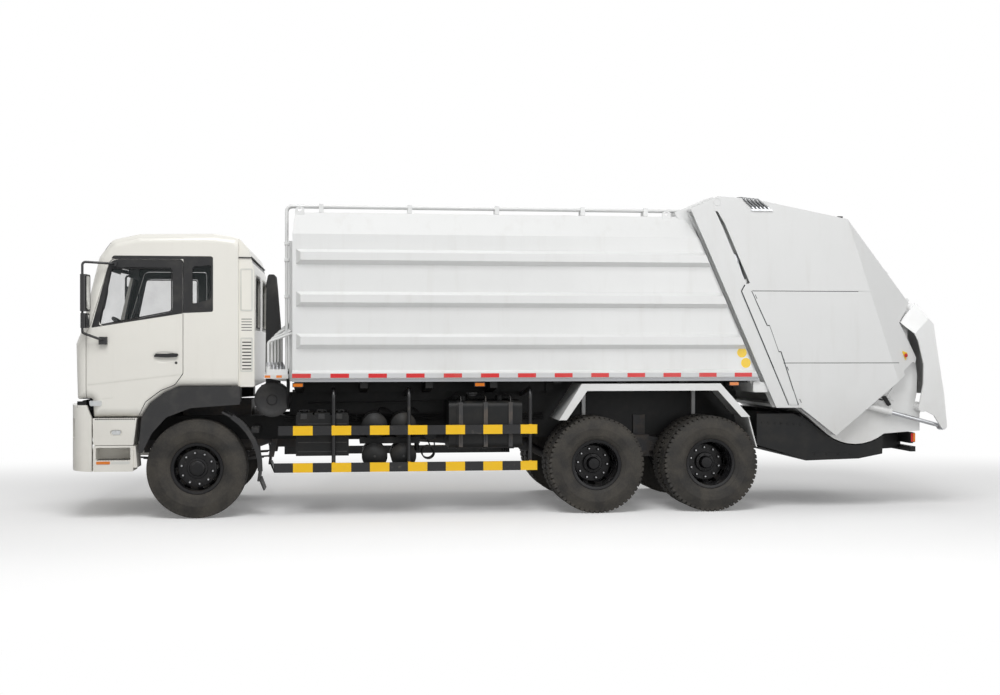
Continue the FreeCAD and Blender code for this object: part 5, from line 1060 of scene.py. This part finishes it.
def bodyPaintWithTape():
    # the sides carry a line of red and pale tape, with painted shade below it: the sill's lower channel is coloured
    # grey for its shadow
    f, cloudy, streak = startPaint("sidePaint")
    low = 1 - f.axis("Z").between(1.45, 1.9)
    grime = streak.between(0.50, 0.8) * 0.09 + low * cloudy.between(0.35, 0.75) * 0.10
    tone = clouded(f, cloudy, paintTones["body"], 0.96)
    x, z, outer = f.axis("X"), f.axis("Z"), abs(f.axis("Y")) > tape["side"]
    inBand = (z > tape["low"]) * (z < tape["high"]) * outer
    red = (((x - (axleX + tape["start"])) % tape["pitch"]) < tape["red"]) * inBand
    # painted shade: the sill's lower half, under the tape, is coloured grey for the shadow in its channel
    sillShade = (z < tape["paintedShadeBelow"]) * outer
    tone = f.mix(inBand, tone, (0.66, 0.67, 0.68))
    tone = f.mix(red, tone, (0.70, 0.010, 0.014))
    tone = f.mix(sillShade, tone, (0.40, 0.41, 0.43))
    f.give("Base Color", dusted(f, grime, tone))
    f.give("Roughness", grime * 0.5 + 0.28 + inBand * 0.08)
    f.bump(paintSkin(f), paintTones["relief"])
    return f


sidePaint = bodyPaintWithTape()
for holder in nodes["body_sides"].material_slots:
    holder.material = sidePaint.material
piece("warningDiscs", discYellow, "truck", bodyDiscs)
piece("sideMarkers", amberGlass, "truck", bodyMarkers, both)
piece("sideMarkerCases", darkPlastic, "truck", bodyMarkerCases, both)
piece("platformTapeAmber", amberGlass, "truck", lambda bm: platformTape(bm, 0))
piece("platformTapePale", whitePlastic, "truck", lambda bm: platformTape(bm, 1))
piece("platformFittings", steel, "truck", platformFittings)
piece("platformPipes", hoseRubber, "truck", platformHoses)
piece("roofClips", steel, "truck", roofFastenings)
print("load body")


# Tailgate: its seams, the pipes over the hinge, the stop button

# Seams run from point to point with half their width; the facet's corner folds in by its slopes along and up
gate = {"side": -1.238, "facetAt": (7.230, 3.292), "facetSlope": (0.23283, 0.07665),
        "seams": [((5.990, 2.470), (6.540, 1.190), 0.005), ((5.990, 2.470), (6.030, 2.540), 0.005),
                  ((6.108, 2.470), (6.290, 2.085), 0.006), ((6.290, 2.085), (6.318, 2.085), 0.006),
                  ((6.318, 2.085), (6.425, 1.790), 0.0028), ((6.425, 1.790), (6.450, 1.790), 0.006),
                  ((6.450, 1.790), (6.650, 1.190), 0.006), ((6.12, 2.472), (7.36, 2.472), 0.0035),
                  ((6.48, 1.662), (7.85, 1.662), 0.0035), ((6.150, 2.430), (6.172, 2.385), 0.004),
                  ((6.470, 1.730), (6.490, 1.690), 0.004), ((6.520, 1.620), (6.540, 1.580), 0.004),
                  ((6.668, 1.255), (6.688, 1.215), 0.004)],
        "pipes": 5, "pipeFrom": (5.985, 3.514), "pipeStep": (0.045, 0.004), "pipeSide": -1.2492,
        "pin": (5.710, 3.465), "stop": (7.9340, 1.748)}


def stroke(x, z, start, end, half):
    # 1 within half of the line between two points on the side of the truck
    run = Vector((end[0] - start[0], end[1] - start[1]))
    length, run = run.length, run.normalized()
    a, b = x - (axleX + start[0]), z - start[1]
    onward, off = a * run.x + b * run.y, abs(a * run.y - b * run.x)
    return (off < half) * (onward > 0.0) * (onward < length)


def gatePaintFinish():
    # body paint with the seams and hinge marks of the side doors drawn in
    f, cloudy, streak = startPaint("gatePaint")
    low = 1 - f.axis("Z").between(0.9, 1.8)
    grime = streak.between(0.50, 0.8) * 0.09 + low * cloudy.between(0.35, 0.75) * 0.12
    tone = clouded(f, cloudy, tuple(c * 0.92 for c in paintTones["body"]), 0.96)
    x, z, out = f.axis("X"), f.axis("Z"), abs(f.axis("Y")) > 1.2
    dark = stroke(x, z, *gate["seams"][0])
    for line in gate["seams"][1:]:
        dark = dark.atLeast(stroke(x, z, *line))
    dark = dark * out
    f.give("Base Color", f.mix(dark, dusted(f, grime, tone), (0.025, 0.03, 0.035)))
    f.give("Roughness", grime * 0.5 + 0.28 + dark * 0.3)
    f.bump(paintSkin(f) - dark * 3.0, paintTones["relief"])
    return f


def ontoFacet(bm):
    # the panel folds in towards the rear along a line from the roof's corner
    (cornerX, cornerZ), (along, upward) = gate["facetAt"], gate["facetSlope"]
    for v in bm.verts:
        v.co.y += along * (v.co.x - cornerX) + upward * (v.co.z - cornerZ)


def stopPlate(bm):
    # the yellow plate under the stop button
    panel(bm, "side", [(7.893, 1.799), (7.962, 1.776), (7.936, 1.686)], gate["side"] + 0.002, gate["side"] - 0.010,
          radius=0.012)
    ontoFacet(bm)


def stopButton(bm):
    # mushroom head on its collar
    x, z = gate["stop"]
    lathe(bm, (x, gate["side"] - 0.009, z), (x, -2, z),
          [(0, 0.011), (0.010, 0.011), (0.010, 0.021), (0.016, 0.022), (0.019, 0.019), (0.0205, 0.0)], 28)
    ontoFacet(bm)


def pipePlaces():
    # where each pipe leaves the roof
    (x, z), (ahead, down) = gate["pipeFrom"], gate["pipeStep"]
    return [(x + ahead * k, z - down * k) for k in range(gate["pipes"])]


def gatePipes(bm):
    # five formed pipes that come over the roof's edge and down the side
    side = gate["pipeSide"]
    for x, z in pipePlaces():
        tube(bm, [(x - 0.06, -0.98, z + 0.004), (x, -1.16, z + 0.010), (x + 0.02, -1.236, z + 0.002),
                  (x + 0.045, side, z - 0.03), (x + 0.135, side, 3.404)], 0.0100, 10, 0.03, 5)


def gateUnions(bm):
    # nuts at both ends of each pipe, and the rail that holds them
    for x, z in pipePlaces():
        turned(bm, (x + 0.126, gate["pipeSide"], 3.414), (x + 0.146, gate["pipeSide"], 3.388), 0.0125, 6)
        turned(bm, (x - 0.072, -0.945, z + 0.002), (x - 0.060, -0.978, z + 0.004), 0.0150, 6)
    panel(bm, "side", corners(6.100, 3.372, 6.345, 3.388), gate["side"] + 0.001, gate["side"] - 0.018)


def gateCoverGreen(bm):
    # tarpaulin strip screwed over the hose tray
    line = [(5.80, 3.5265), (5.84, 3.533), (5.90, 3.534), (5.97, 3.5245), (6.01, 3.5185)]
    rings = [[bm.verts.new((x, y, z + 0.003 * math.sin(9 * y + 30 * x))) for x, z in line]
             for y in (-0.98 + 0.06 * k for k in range(13))]
    for one, two in zip(rings, rings[1:]):
        for a, b, c, d in zip(one, one[1:], two[1:], two):
            bm.faces.new((a, b, c, d))
    bmesh.ops.solidify(bm, geom=bm.faces[:], thickness=0.0025)


def gateBracketBlue(bm):
    # bent holder of the lamp lead at the tailgate's top
    tube(bm, [(6.070, -0.92, 3.500), (6.150, -0.90, 3.533), (6.200, -0.88, 3.531), (6.235, -0.86, 3.508)], 0.0065, 8)
    block(bm, (6.195, -0.91, 3.508), (6.235, -0.85, 3.534), 0.003)


def gateBlocks(bm):
    # rubber stops on the tailgate's roof
    block(bm, (7.160, -1.115, 3.306), (7.225, -1.075, 3.336), 0.004)
    for y in (-0.9, 0.9):
        block(bm, (6.55, y - 0.03, 3.421), (6.63, y + 0.03, 3.441), 0.004)


def hingeCaps(bm):
    # covers over the tailgate's pins
    x, z = gate["pin"]
    lathe(bm, (x, -1.2372, z), (x, -2, z),
          [(0, 0.044), (0.004, 0.043), (0.0045, 0.038), (0.002, 0.036), (0.002, 0.0)], 36)


gatePaint = gatePaintFinish()
for holder in nodes["tailgate_skins"].material_slots:
    holder.material = gatePaint.material
tarpGreen = clothFinish("tarpGreen", (0.012, 0.13, 0.075))
pipeSteel = steelFinish("pipeSteel", (0.22, 0.225, 0.23), 0.35)
stopRed = plasticFinish("stopRed", (0.55, 0.012, 0.014), 0.3)
holderBlue = plasticFinish("holderBlue", (0.035, 0.075, 0.17), 0.4)
piece("stopPlate", discYellow, "tailgate", stopPlate)
piece("stopButton", stopRed, "tailgate", stopButton)
piece("gatePipes", pipeSteel, "tailgate", gatePipes)
piece("gateUnions", steel, "tailgate", gateUnions)
piece("hoseTrayCover", tarpGreen, "tailgate", gateCoverGreen)
piece("leadHolder", holderBlue, "tailgate", gateBracketBlue)
piece("gateBlocks", darkPlastic, "tailgate", gateBlocks)
piece("hingeCaps", gatePaint, "tailgate", hingeCaps, both)
print("tailgate")


# Chassis: dark sheets under the floor (partly painted shade), straps, pipes, lamps at the rear

tanks = {"fuelStraps": (2.840, 3.115, 3.390),
         "airPlaces": [(1.901, 0.649), (1.901, 0.981), (2.217, 0.649), (2.217, 0.981)],
         "airStraps": (-0.99, -0.72), "filler": (2.980, -0.98)}


def floorShadeSheets(bm):
    # thin black sheets under the floor, between its bearers: partly the floor's side members, partly painted shade
    # that closes the view under the body
    for y in (-0.560, 0.550):
        block(bm, (1.030, y, 1.334), (6.100, y + 0.010, 1.4645))


def noseSkirt(bm):
    # dark backing in the gap between nose and bumper
    for y0, y1 in ((-1.12, -0.50), (-0.40, 0.40), (0.50, 1.12)):
        block(bm, (-1.200, y0, 1.190), (-1.150, y1, 1.274), 0.01)
    for y in (-1.188, 1.176):
        block(bm, (-1.235, y, 1.195), (-1.140, y + 0.012, 1.268), 0.003)


def tankStraps(bm):
    # steel bands with their tensioners round the fuel tank and the reservoirs
    for x in tanks["fuelStraps"]:
        tube(bm, [(x, -1.183, 0.780), (x, -1.183, 1.255), (x, -1.145, 1.303), (x, -0.46, 1.303)], 0.0052, 6, 0.05)
        block(bm, (x - 0.022, -1.1855, 0.745), (x + 0.022, -1.1805, 1.235), 0.001)
        turned(bm, (x, -1.187, 0.80), (x, -1.187, 0.90), 0.0065, 10)
        block(bm, (x - 0.018, -1.193, 0.898), (x + 0.018, -1.181, 0.912), 0.001)
    for x, z in tanks["airPlaces"]:
        for y in tanks["airStraps"]:
            lathe(bm, (x, y - 0.012, z), (x, 0, z), [(0, 0.1345), (0, 0.137), (0.024, 0.137), (0.024, 0.1345)], 40)


def tankCaps(bm):
    # the fuel filler's cap with its grips, and the plugs of the reservoirs
    x, y = tanks["filler"]
    lathe(bm, (x, y, 1.299), (x, y, 2),
          [(0, 0.052), (0.014, 0.052), (0.020, 0.058), (0.040, 0.058), (0.046, 0.050), (0.046, 0)], 32)
    for k in range(12):
        a = math.tau * k / 12
        gripX, gripY = x + math.cos(a) * 0.058, y + math.sin(a) * 0.058
        block(bm, (gripX - 0.004, gripY - 0.004, 1.320), (gripX + 0.004, gripY + 0.004, 1.337))
    for x, z in tanks["airPlaces"]:
        turned(bm, (x, -1.135, z), (x, -1.143, z), 0.014, 6)
        turned(bm, (x + 0.05, -1.122, z - 0.075), (x + 0.05, -1.132, z - 0.075), 0.009, 6)


def batteryBits(bm):
    # clips, hand grips and vent caps of the battery lids
    for k in range(3):
        x = 1.135 + 0.190 * k
        block(bm, (x - 0.035, -1.1335, 1.060), (x + 0.035, -1.1290, 1.118), 0.002)
        tube(bm, [(x - 0.05, -0.98, 1.124), (x - 0.05, -0.98, 1.150), (x + 0.05, -0.98, 1.150),
                  (x + 0.05, -0.98, 1.124)], 0.006, 8, 0.02)
        for y in (-0.86, -0.74):
            lathe(bm, (x, y, 1.125), (x, y, 2), [(0, 0.022), (0.014, 0.022), (0.018, 0.016), (0.018, 0)], 16)
    for z in (0.70, 0.80, 0.90, 1.00):
        block(bm, (1.070, -1.1325, z), (1.600, -1.1292, z + 0.012), 0.001)


def framePipes(bm):
    # brake pipes clipped along the left rail and across to the reservoirs
    for k in range(4):
        z = 1.010 + 0.022 * k
        tube(bm, [(0.90, -0.478, z), (2.2, -0.478, z), (3.86, -0.478, z)], 0.0062, 8)
    for x in (1.1, 1.7, 2.3, 2.9, 3.5):
        block(bm, (x, -0.487, 1.000), (x + 0.02, -0.470, 1.088), 0.002)
    for x in (1.901, 2.217):
        tube(bm, [(x + 0.05, -0.60, 1.105), (x + 0.06, -0.56, 1.150), (x + 0.14, -0.50, 1.150),
                  (x + 0.20, -0.482, 1.100)], 0.008, 8, 0.05)
    tube(bm, [(1.16, -0.60, 1.215), (1.9, -0.60, 1.222), (2.74, -0.60, 1.236), (2.80, -0.60, 1.29)], 0.0075, 8, 0.05)


def airCoil(bm):
    # cooling coil of the air drier: four turns of pipe
    run = [(2.498 + 0.070 * math.cos(0.35 * k), -0.990 + 0.0032 * k, 0.672 + 0.070 * math.sin(0.35 * k))
           for k in range(72)]
    tube(bm, [(2.560, -0.990, 0.79)] + run + [(2.50, -0.75, 0.80)], 0.0075, 8)


rearLamps = {"low": 0.752, "high": 0.848, "face": (8.0990, 8.1070),
             "amber": {"across": [(0.905, 0.988), (0.775, 0.885)], "side": (8.074, 8.097, -1.0845)},
             "red": {"across": [(0.992, 1.080), (0.665, 0.770)], "side": (8.048, 8.070, -1.0895)}}


def rearLampGlass(bm, color):
    # both lenses of a colour, and the strip round the lamp's side
    lamp = rearLamps[color]
    for low, high in lamp["across"]:
        panel(bm, "front", corners(-high, rearLamps["low"], -low, rearLamps["high"]), *rearLamps["face"],
              radius=0.008)
    x0, x1, near = lamp["side"]
    panel(bm, "side", corners(x0, rearLamps["low"], x1, rearLamps["high"] + 0.002), near, -1.0985, radius=0.005)


def rearBits(bm):
    # bolt rows and the seam of the drain tank
    for k in range(7):
        bolt(bm, (6.28 + 0.075 * k, -1.1003, 0.99 - 0.005 * k), left, 0.011, 0.008)
    for k in range(4):
        bolt(bm, (6.90 + 0.14 * k, -1.1003, 0.62), left, 0.010, 0.007)
    band(bm, [(6.86, -1.1035, 0.640), (7.32, -1.1035, 0.640)], (0, 0, 0.012), (0, 0.004, 0))


def springBolts(bm):
    # U-bolts that hold each front spring on the axle
    for x in (-0.055, 0.055):
        for y in (-0.43, -0.375):
            tube(bm, [(x, y, 0.44), (x, y, 0.640)], 0.010, 8)


# black sheets that stand in for the shade under the body
piece("floorStringers", chassisBlack, "truck", floorShadeSheets)
piece("noseSkirt", chassisBlack, "truck", noseSkirt)
piece("tankStraps", castIron, "truck", tankStraps)
piece("tankCaps", darkPlastic, "truck", tankCaps)
piece("batteryBits", darkPlastic, "truck", batteryBits)
piece("framePipes", hoseRubber, "truck", framePipes)
piece("airCoil", hoseRubber, "truck", airCoil)
piece("rearLampsAmber", amberGlass, "truck", lambda bm: rearLampGlass(bm, "amber"), both)
piece("rearLampsRed", redGlass, "truck", lambda bm: rearLampGlass(bm, "red"), both)
piece("rearBits", chassisBlack, "truck", rearBits, both)
print("chassis")


# Cab inside: seats with sewn channels, engine cover, instrument panel and visors

def cushion(bm, low, high, crown, channels=0, along=0, lean=0.0, foot=None):
    # a stuffed block whose faces swell between its edges, with sewn channels across it
    low, high = Vector(low), Vector(high)
    middle, half = (low + high) / 2, (high - low) / 2
    before = len(bm.verts)
    made = bmesh.ops.create_cube(bm, size=2.0)["verts"]
    edges = list({e for v in made for e in v.link_edges})
    bmesh.ops.subdivide_edges(bm, edges=edges, cuts=14, use_grid_fill=True)
    bm.verts.ensure_lookup_table()
    for v in bm.verts[before:]:
        p = v.co.copy()
        flat = (abs(p.x) ** 7 + abs(p.y) ** 7 + abs(p.z) ** 7) ** (1 / 7)
        p /= max(flat, 1e-6)
        fill = Vector([(1 - min(1, abs(p[(a + 1) % 3])) ** 2)
                       * (1 - min(1, abs(p[(a + 2) % 3])) ** 2) for a in range(3)])
        size = [half[a] - crown for a in range(3)]
        spot = Vector([p[a] * size[a] + (crown * fill[a] * (1 if p[a] > 0 else -1) if abs(p[a]) > 0.6 else 0)
                       for a in range(3)])
        if channels:
            groove = abs(math.sin(math.pi * channels * (spot[along] / size[along] + 1) / 2))
            depth = 0.012 * (1 - groove) ** 3
            thin = min(range(3), key=lambda a: half[a])
            if abs(p[thin]) > 0.7:
                spot[thin] -= depth * (1 if p[thin] > 0 else -1)
        spot = spot + middle
        if lean:
            spot.x += (spot.z - foot) * lean
        v.co = spot


# Left edge of each seat across the cab
seats = {"Left": -0.880, "Right": 0.330}


def seatAt(bm, y):
    # seat, back and headrest
    cushion(bm, (-0.415, y, 1.802), (0.105, y + 0.52, 1.922), 0.016, 5, 1)
    cushion(bm, (0.035, y + 0.018, 1.875), (0.130, y + 0.502, 2.475), 0.014, 5, 1, 0.215, 1.875)
    cushion(bm, (0.157, y + 0.134, 2.484), (0.236, y + 0.386, 2.640), 0.014, 0, 0, 0.16, 2.484)


def seatBases(bm):
    # suspension boxes with their bellows, belt buckles and levers
    for y in (-0.810, 0.400):
        block(bm, (-0.325, y, 1.468), (0.035, y + 0.38, 1.640), 0.01)
        for k in range(5):
            block(bm, (-0.318 + 0.006 * (k % 2), y + 0.008 - 0.006 * (k % 2), 1.640 + 0.032 * k),
                  (0.030 - 0.006 * (k % 2), y + 0.372 + 0.006 * (k % 2), 1.672 + 0.032 * k), 0.008)
        tube(bm, [(-0.05, y + 0.40, 1.78), (-0.05, y + 0.425, 1.86), (-0.04, y + 0.425, 1.96)], 0.011, 8, 0.03)
        tube(bm, [(-0.30, y - 0.02, 1.79), (-0.36, y - 0.045, 1.80)], 0.010, 8)


def engineCover(bm):
    # soft cover over the engine's tunnel
    cushion(bm, (-0.515, -0.297, 1.470), (0.297, 0.257, 1.698), 0.006)


def dashTrim(bm):
    # instrument binnacle, vents, switches, gear lever and the stalks at the wheel
    block(bm, (-1.010, -0.78, 1.955), (-0.915, -0.34, 2.035), 0.018, 2)
    for y in (-1.03, -0.25, 0.20, 0.95):
        block(bm, (-0.925, y, 1.800), (-0.898, y + 0.11, 1.862), 0.006)
    block(bm, (-0.930, -0.16, 1.690), (-0.893, 0.10, 1.780), 0.006)
    tube(bm, [(-0.34, -0.02, 1.69), (-0.36, -0.03, 1.86), (-0.33, -0.05, 1.985)], 0.010, 10, 0.08)
    lathe(bm, (-0.33, -0.05, 1.975), (-0.33, -0.05, 3),
          [(0, 0.012), (0.01, 0.024), (0.03, 0.028), (0.05, 0.02), (0.056, 0)], 20)
    for y in (-0.86, -0.90):
        tube(bm, [(-0.955, -0.56 + (0.04 if y > -0.88 else -0.04), 1.86), (-0.93, y * 0.86, 1.93)], 0.006, 8)


def dials(bm):
    # bezels of the gauges
    for y, r in ((-0.66, 0.045), (-0.56, 0.045), (-0.45, 0.030), (-0.73, 0.024)):
        lathe(bm, (-0.9155, y, 1.995), (0, y, 1.995),
              [(0, r * 0.82), (0.003, r * 0.80), (0.003, r * 0.70), (0.0015, 0)], 28)


def cabGrips(bm):
    # grab handles on both front pillars
    for way in both:
        tube(bm, [(-1.010, way * 1.108, 2.22), (-0.985, way * 1.070, 2.25), (-0.945, way * 1.070, 2.45),
                  (-0.958, way * 1.108, 2.49)], 0.014, 10, 0.03)


def visors(bm):
    # sun visors folded down in front of both seats
    for y in (-0.98, 0.30):
        block(bm, (-0.945, y, 2.660), (-0.927, y + 0.66, 2.825), 0.006, 2)


def lining(bm):
    # ribbed trim on the rear wall and a shelf over the screen
    for k in range(9):
        y = -1.02 + 0.255 * k
        block(bm, (0.530, y, 1.55), (0.545, y + 0.20, 2.02), 0.006)
    block(bm, (-0.90, -1.04, 2.845), (-0.62, 1.04, 2.875), 0.01)


def doorCards(bm):
    # inner side of the door: armrest, pocket, winder
    y = -1.158
    panel(bm, "side", [(-1.02, 1.30), (-0.60, 1.30), (-0.45, 1.46), (-0.17, 1.56), (-0.17, 2.13), (-1.02, 2.00)], y,
          y + 0.012, radius=0.04)
    block(bm, (-0.72, y + 0.010, 1.780), (-0.24, y + 0.055, 1.835), 0.014, 2)
    block(bm, (-0.92, y + 0.010, 1.380), (-0.52, y + 0.038, 1.520), 0.012)
    lathe(bm, (-0.66, y + 0.011, 1.68), (-0.66, 0, 1.68), [(0, 0.022), (0.018, 0.020), (0.022, 0.012), (0.022, 0)],
          20)
    tube(bm, [(-0.66, y + 0.030, 1.68), (-0.735, y + 0.034, 1.66)], 0.007, 8)


for side in ("Left", "Right"):
    bm = bmesh.new()
    seatAt(bm, seats[side])
    bmesh.ops.translate(bm, vec=(axleX, 0, 0), verts=bm.verts)
    bmesh.ops.recalc_face_normals(bm, faces=bm.faces)
    made = toObject(bm, "seat" + side, seatCloth, "cab", 60)
    if side == "Left":
        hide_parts("seats")
piece("seatBases", darkPlastic, "cab", seatBases)
piece("engineCover", trimPlastic, "cab", engineCover)
piece("dashTrim", darkPlastic, "cab", dashTrim)
piece("dials", whitePlastic, "cab", dials)
piece("cabGrips", trimPlastic, "cab", cabGrips)
piece("visors", trimPlastic, "cab", visors)
piece("lining", trimPlastic, "cab", lining)
piece("doorCards", trimPlastic, "SIDE_door", doorCards, both)
print("cab inside")


# Cab rear, air cleaner, fittings of the bucket's rams

rearWall = {"corner": -1.129, "window": (-0.228, 2.046, -0.952, 2.614), "wall": 0.609}


def cabRear(bm):
    # dark drip rail round the rear quarters, seals of the rear windows, and the vents' slots
    band(bm, [(0.442, -1.1325, 2.800), (0.577, -1.1325, 2.800)], (0, 0, 0.012), (0, -0.010, 0))
    band(bm, [(0.5715, y, 2.800) for y in (-1.13, 0.0)], (0, 0, 0.012), (0.014, 0, 0))
    panel(bm, "front", corners(*rearWall["window"]), rearWall["wall"], 0.6145,
          [corners(-0.243, 2.063, -0.937, 2.597)], 0.06, 0.05)
    for k in range(5):
        panel(bm, "side", corners(0.470, 2.020 + 0.030 * k, 0.580, 2.027 + 0.030 * k), rearWall["corner"], -1.1312)
    for k in range(9):
        panel(bm, "side", corners(0.478, 1.60 + 0.036 * k, 0.575, 1.612 + 0.036 * k), rearWall["corner"], -1.1312)


def cabRearPale(bm):
    # pale frames of the rear windows and of the vents behind the door
    panel(bm, "front", corners(-0.208, 2.026, -0.972, 2.634), rearWall["wall"], 0.6130,
          [corners(*rearWall["window"])], 0.07, 0.06)
    for z0, z1 in ((2.230, 2.690), (1.575, 1.945)):
        panel(bm, "side", corners(0.458, z0, 0.590, z1), rearWall["corner"], -1.1345,
              [corners(0.472, z0 + 0.016, 0.576, z1 - 0.016)], 0.016, 0.012)


def handleBlade(bm):
    # the pull of the door handle
    panel(bm, "side", [(-0.436, 1.738), (-0.300, 1.731), (-0.200, 1.736), (-0.182, 1.752), (-0.186, 1.772),
                       (-0.240, 1.777), (-0.430, 1.760)],
          -1.2275, -1.2445, radius=0.008)


airFilter = {"at": (0.780, 1.260), "end": -0.8595, "radius": 0.186, "clips": 4, "slots": 9}


def filterBits(bm):
    # air cleaner's end cover with its clips, its clamp, and the slots of its duct
    (midX, midZ), radius = airFilter["at"], airFilter["radius"]
    lathe(bm, (midX, airFilter["end"], midZ), (midX, -2, midZ),
          [(0, 0.188), (0.010, radius), (0.014, 0.150), (0.010, 0.142), (0.010, 0.060), (0.018, 0.050),
           (0.018, 0)], 48)
    for k in range(airFilter["clips"]):
        a = 0.6 + math.tau * k / airFilter["clips"]
        x, z = midX + radius * math.cos(a), midZ + radius * math.sin(a)
        block(bm, (x - 0.012, -0.868, z - 0.012), (x + 0.012, -0.815, z + 0.012), 0.003)
    lathe(bm, (midX, -0.80, midZ), (midX, -2, midZ), [(0, 0.1895), (0, 0.1945), (0.016, 0.1945), (0.016, 0.1895)], 48)
    for k in range(airFilter["slots"]):
        block(bm, (0.835 + 0.002 * k, -0.545, 1.66 + 0.05 * k), (0.862 - 0.003 * k, -0.265, 1.672 + 0.05 * k), 0.002)


bucketRam = {"foot": (7.141, 1.262), "eye": (8.374, 0.938), "side": -1.172, "hinge": (8.119, 1.154)}


def bucketPins(bm):
    # caps, keepers and bolts at the bucket's hinges and rams
    for x, z, y, r in ((*bucketRam["hinge"], -1.250, 0.038), (*bucketRam["eye"], -1.250, 0.034)):
        lathe(bm, (x, y + 0.004, z), (x, -2, z), [(0, r), (0.0035, r), (0.0038, r * 0.55), (0.0038, 0)], 28)
        for a in (0.7, 2.8, 4.9):
            bolt(bm, (x + math.cos(a) * r, y + 0.0042, z + math.sin(a) * r), left, 0.005, 0.003, False)


def ramSeals(bm):
    # gland nuts on the bucket rams, in line with the rod
    base, eye = (Vector((x, bucketRam["side"], z)) for x, z in (bucketRam["foot"], bucketRam["eye"]))
    line = (eye - base).normalized()
    lathe(bm, base + line * 0.615, eye,
          [(0, 0.042), (0.004, 0.0435), (0.030, 0.0435), (0.034, 0.040), (0.034, 0.026), (0, 0.026)], 28)


def ramBits(bm):
    # bolts of the bucket ram's foot
    x, z = bucketRam["foot"]
    for a in (0.5, 2.07, 3.64, 5.21):
        bolt(bm, (x + 0.062 * math.cos(a), -1.1003, z + 0.062 * math.sin(a)), left, 0.009, 0.006)


def ramPlates(bm):
    # bracket on the tailgate wall that guides the ram's pipes
    panel(bm, "side", [(7.745, 1.265), (7.840, 1.220), (7.892, 1.320), (7.820, 1.378)], -1.0995, -1.1085, radius=0.01)
    for x, z in ((7.800, 1.275), (7.835, 1.330), (7.862, 1.300)):
        bolt(bm, (x, -1.108, z), left, 0.008, 0.006)


def ramPipes(bm):
    # valve block beside it and its feed pipe
    panel(bm, "side", [(7.690, 1.272), (7.733, 1.285), (7.800, 1.182), (7.760, 1.165)], -1.0995, -1.1225,
          radius=0.008)
    tube(bm, [(7.30, -1.112, 1.335), (7.52, -1.112, 1.285), (7.70, -1.112, 1.235)], 0.0075, 8, 0.05)


def springEnds(bm):
    # clips round the leaves of the front springs
    for x in (-0.42, -0.20, 0.20, 0.42):
        block(bm, (x - 0.018, -0.449, 0.500 + abs(x) * 0.05), (x + 0.018, -0.355, 0.590 + abs(x) * 0.03), 0.003)


piece("cabRearSeals", gasket, "cab", cabRear, both)
piece("cabRearFrames", whitePlastic, "cab", cabRearPale, both)
piece("handleBlade", gasket, "SIDE_door", handleBlade, both)
piece("filterCover", darkPlastic, "truck", filterBits)
piece("ramBolts", steel, "tailgate", ramBits, both)
piece("springBolts", castIron, "truck", springBolts, both)
piece("ramPlates", bodyPaint, "tailgate", ramPlates, both)
piece("ramPipes", chassisBlack, "tailgate", ramPipes, both)
piece("bucketPins", steel, "bucket", bucketPins, both)
piece("ramSeals", steel, "bucket_ram_barrels", ramSeals, both)
piece("springClips", castIron, "truck", springEnds, both)
print("cab rear and tailgate fittings")
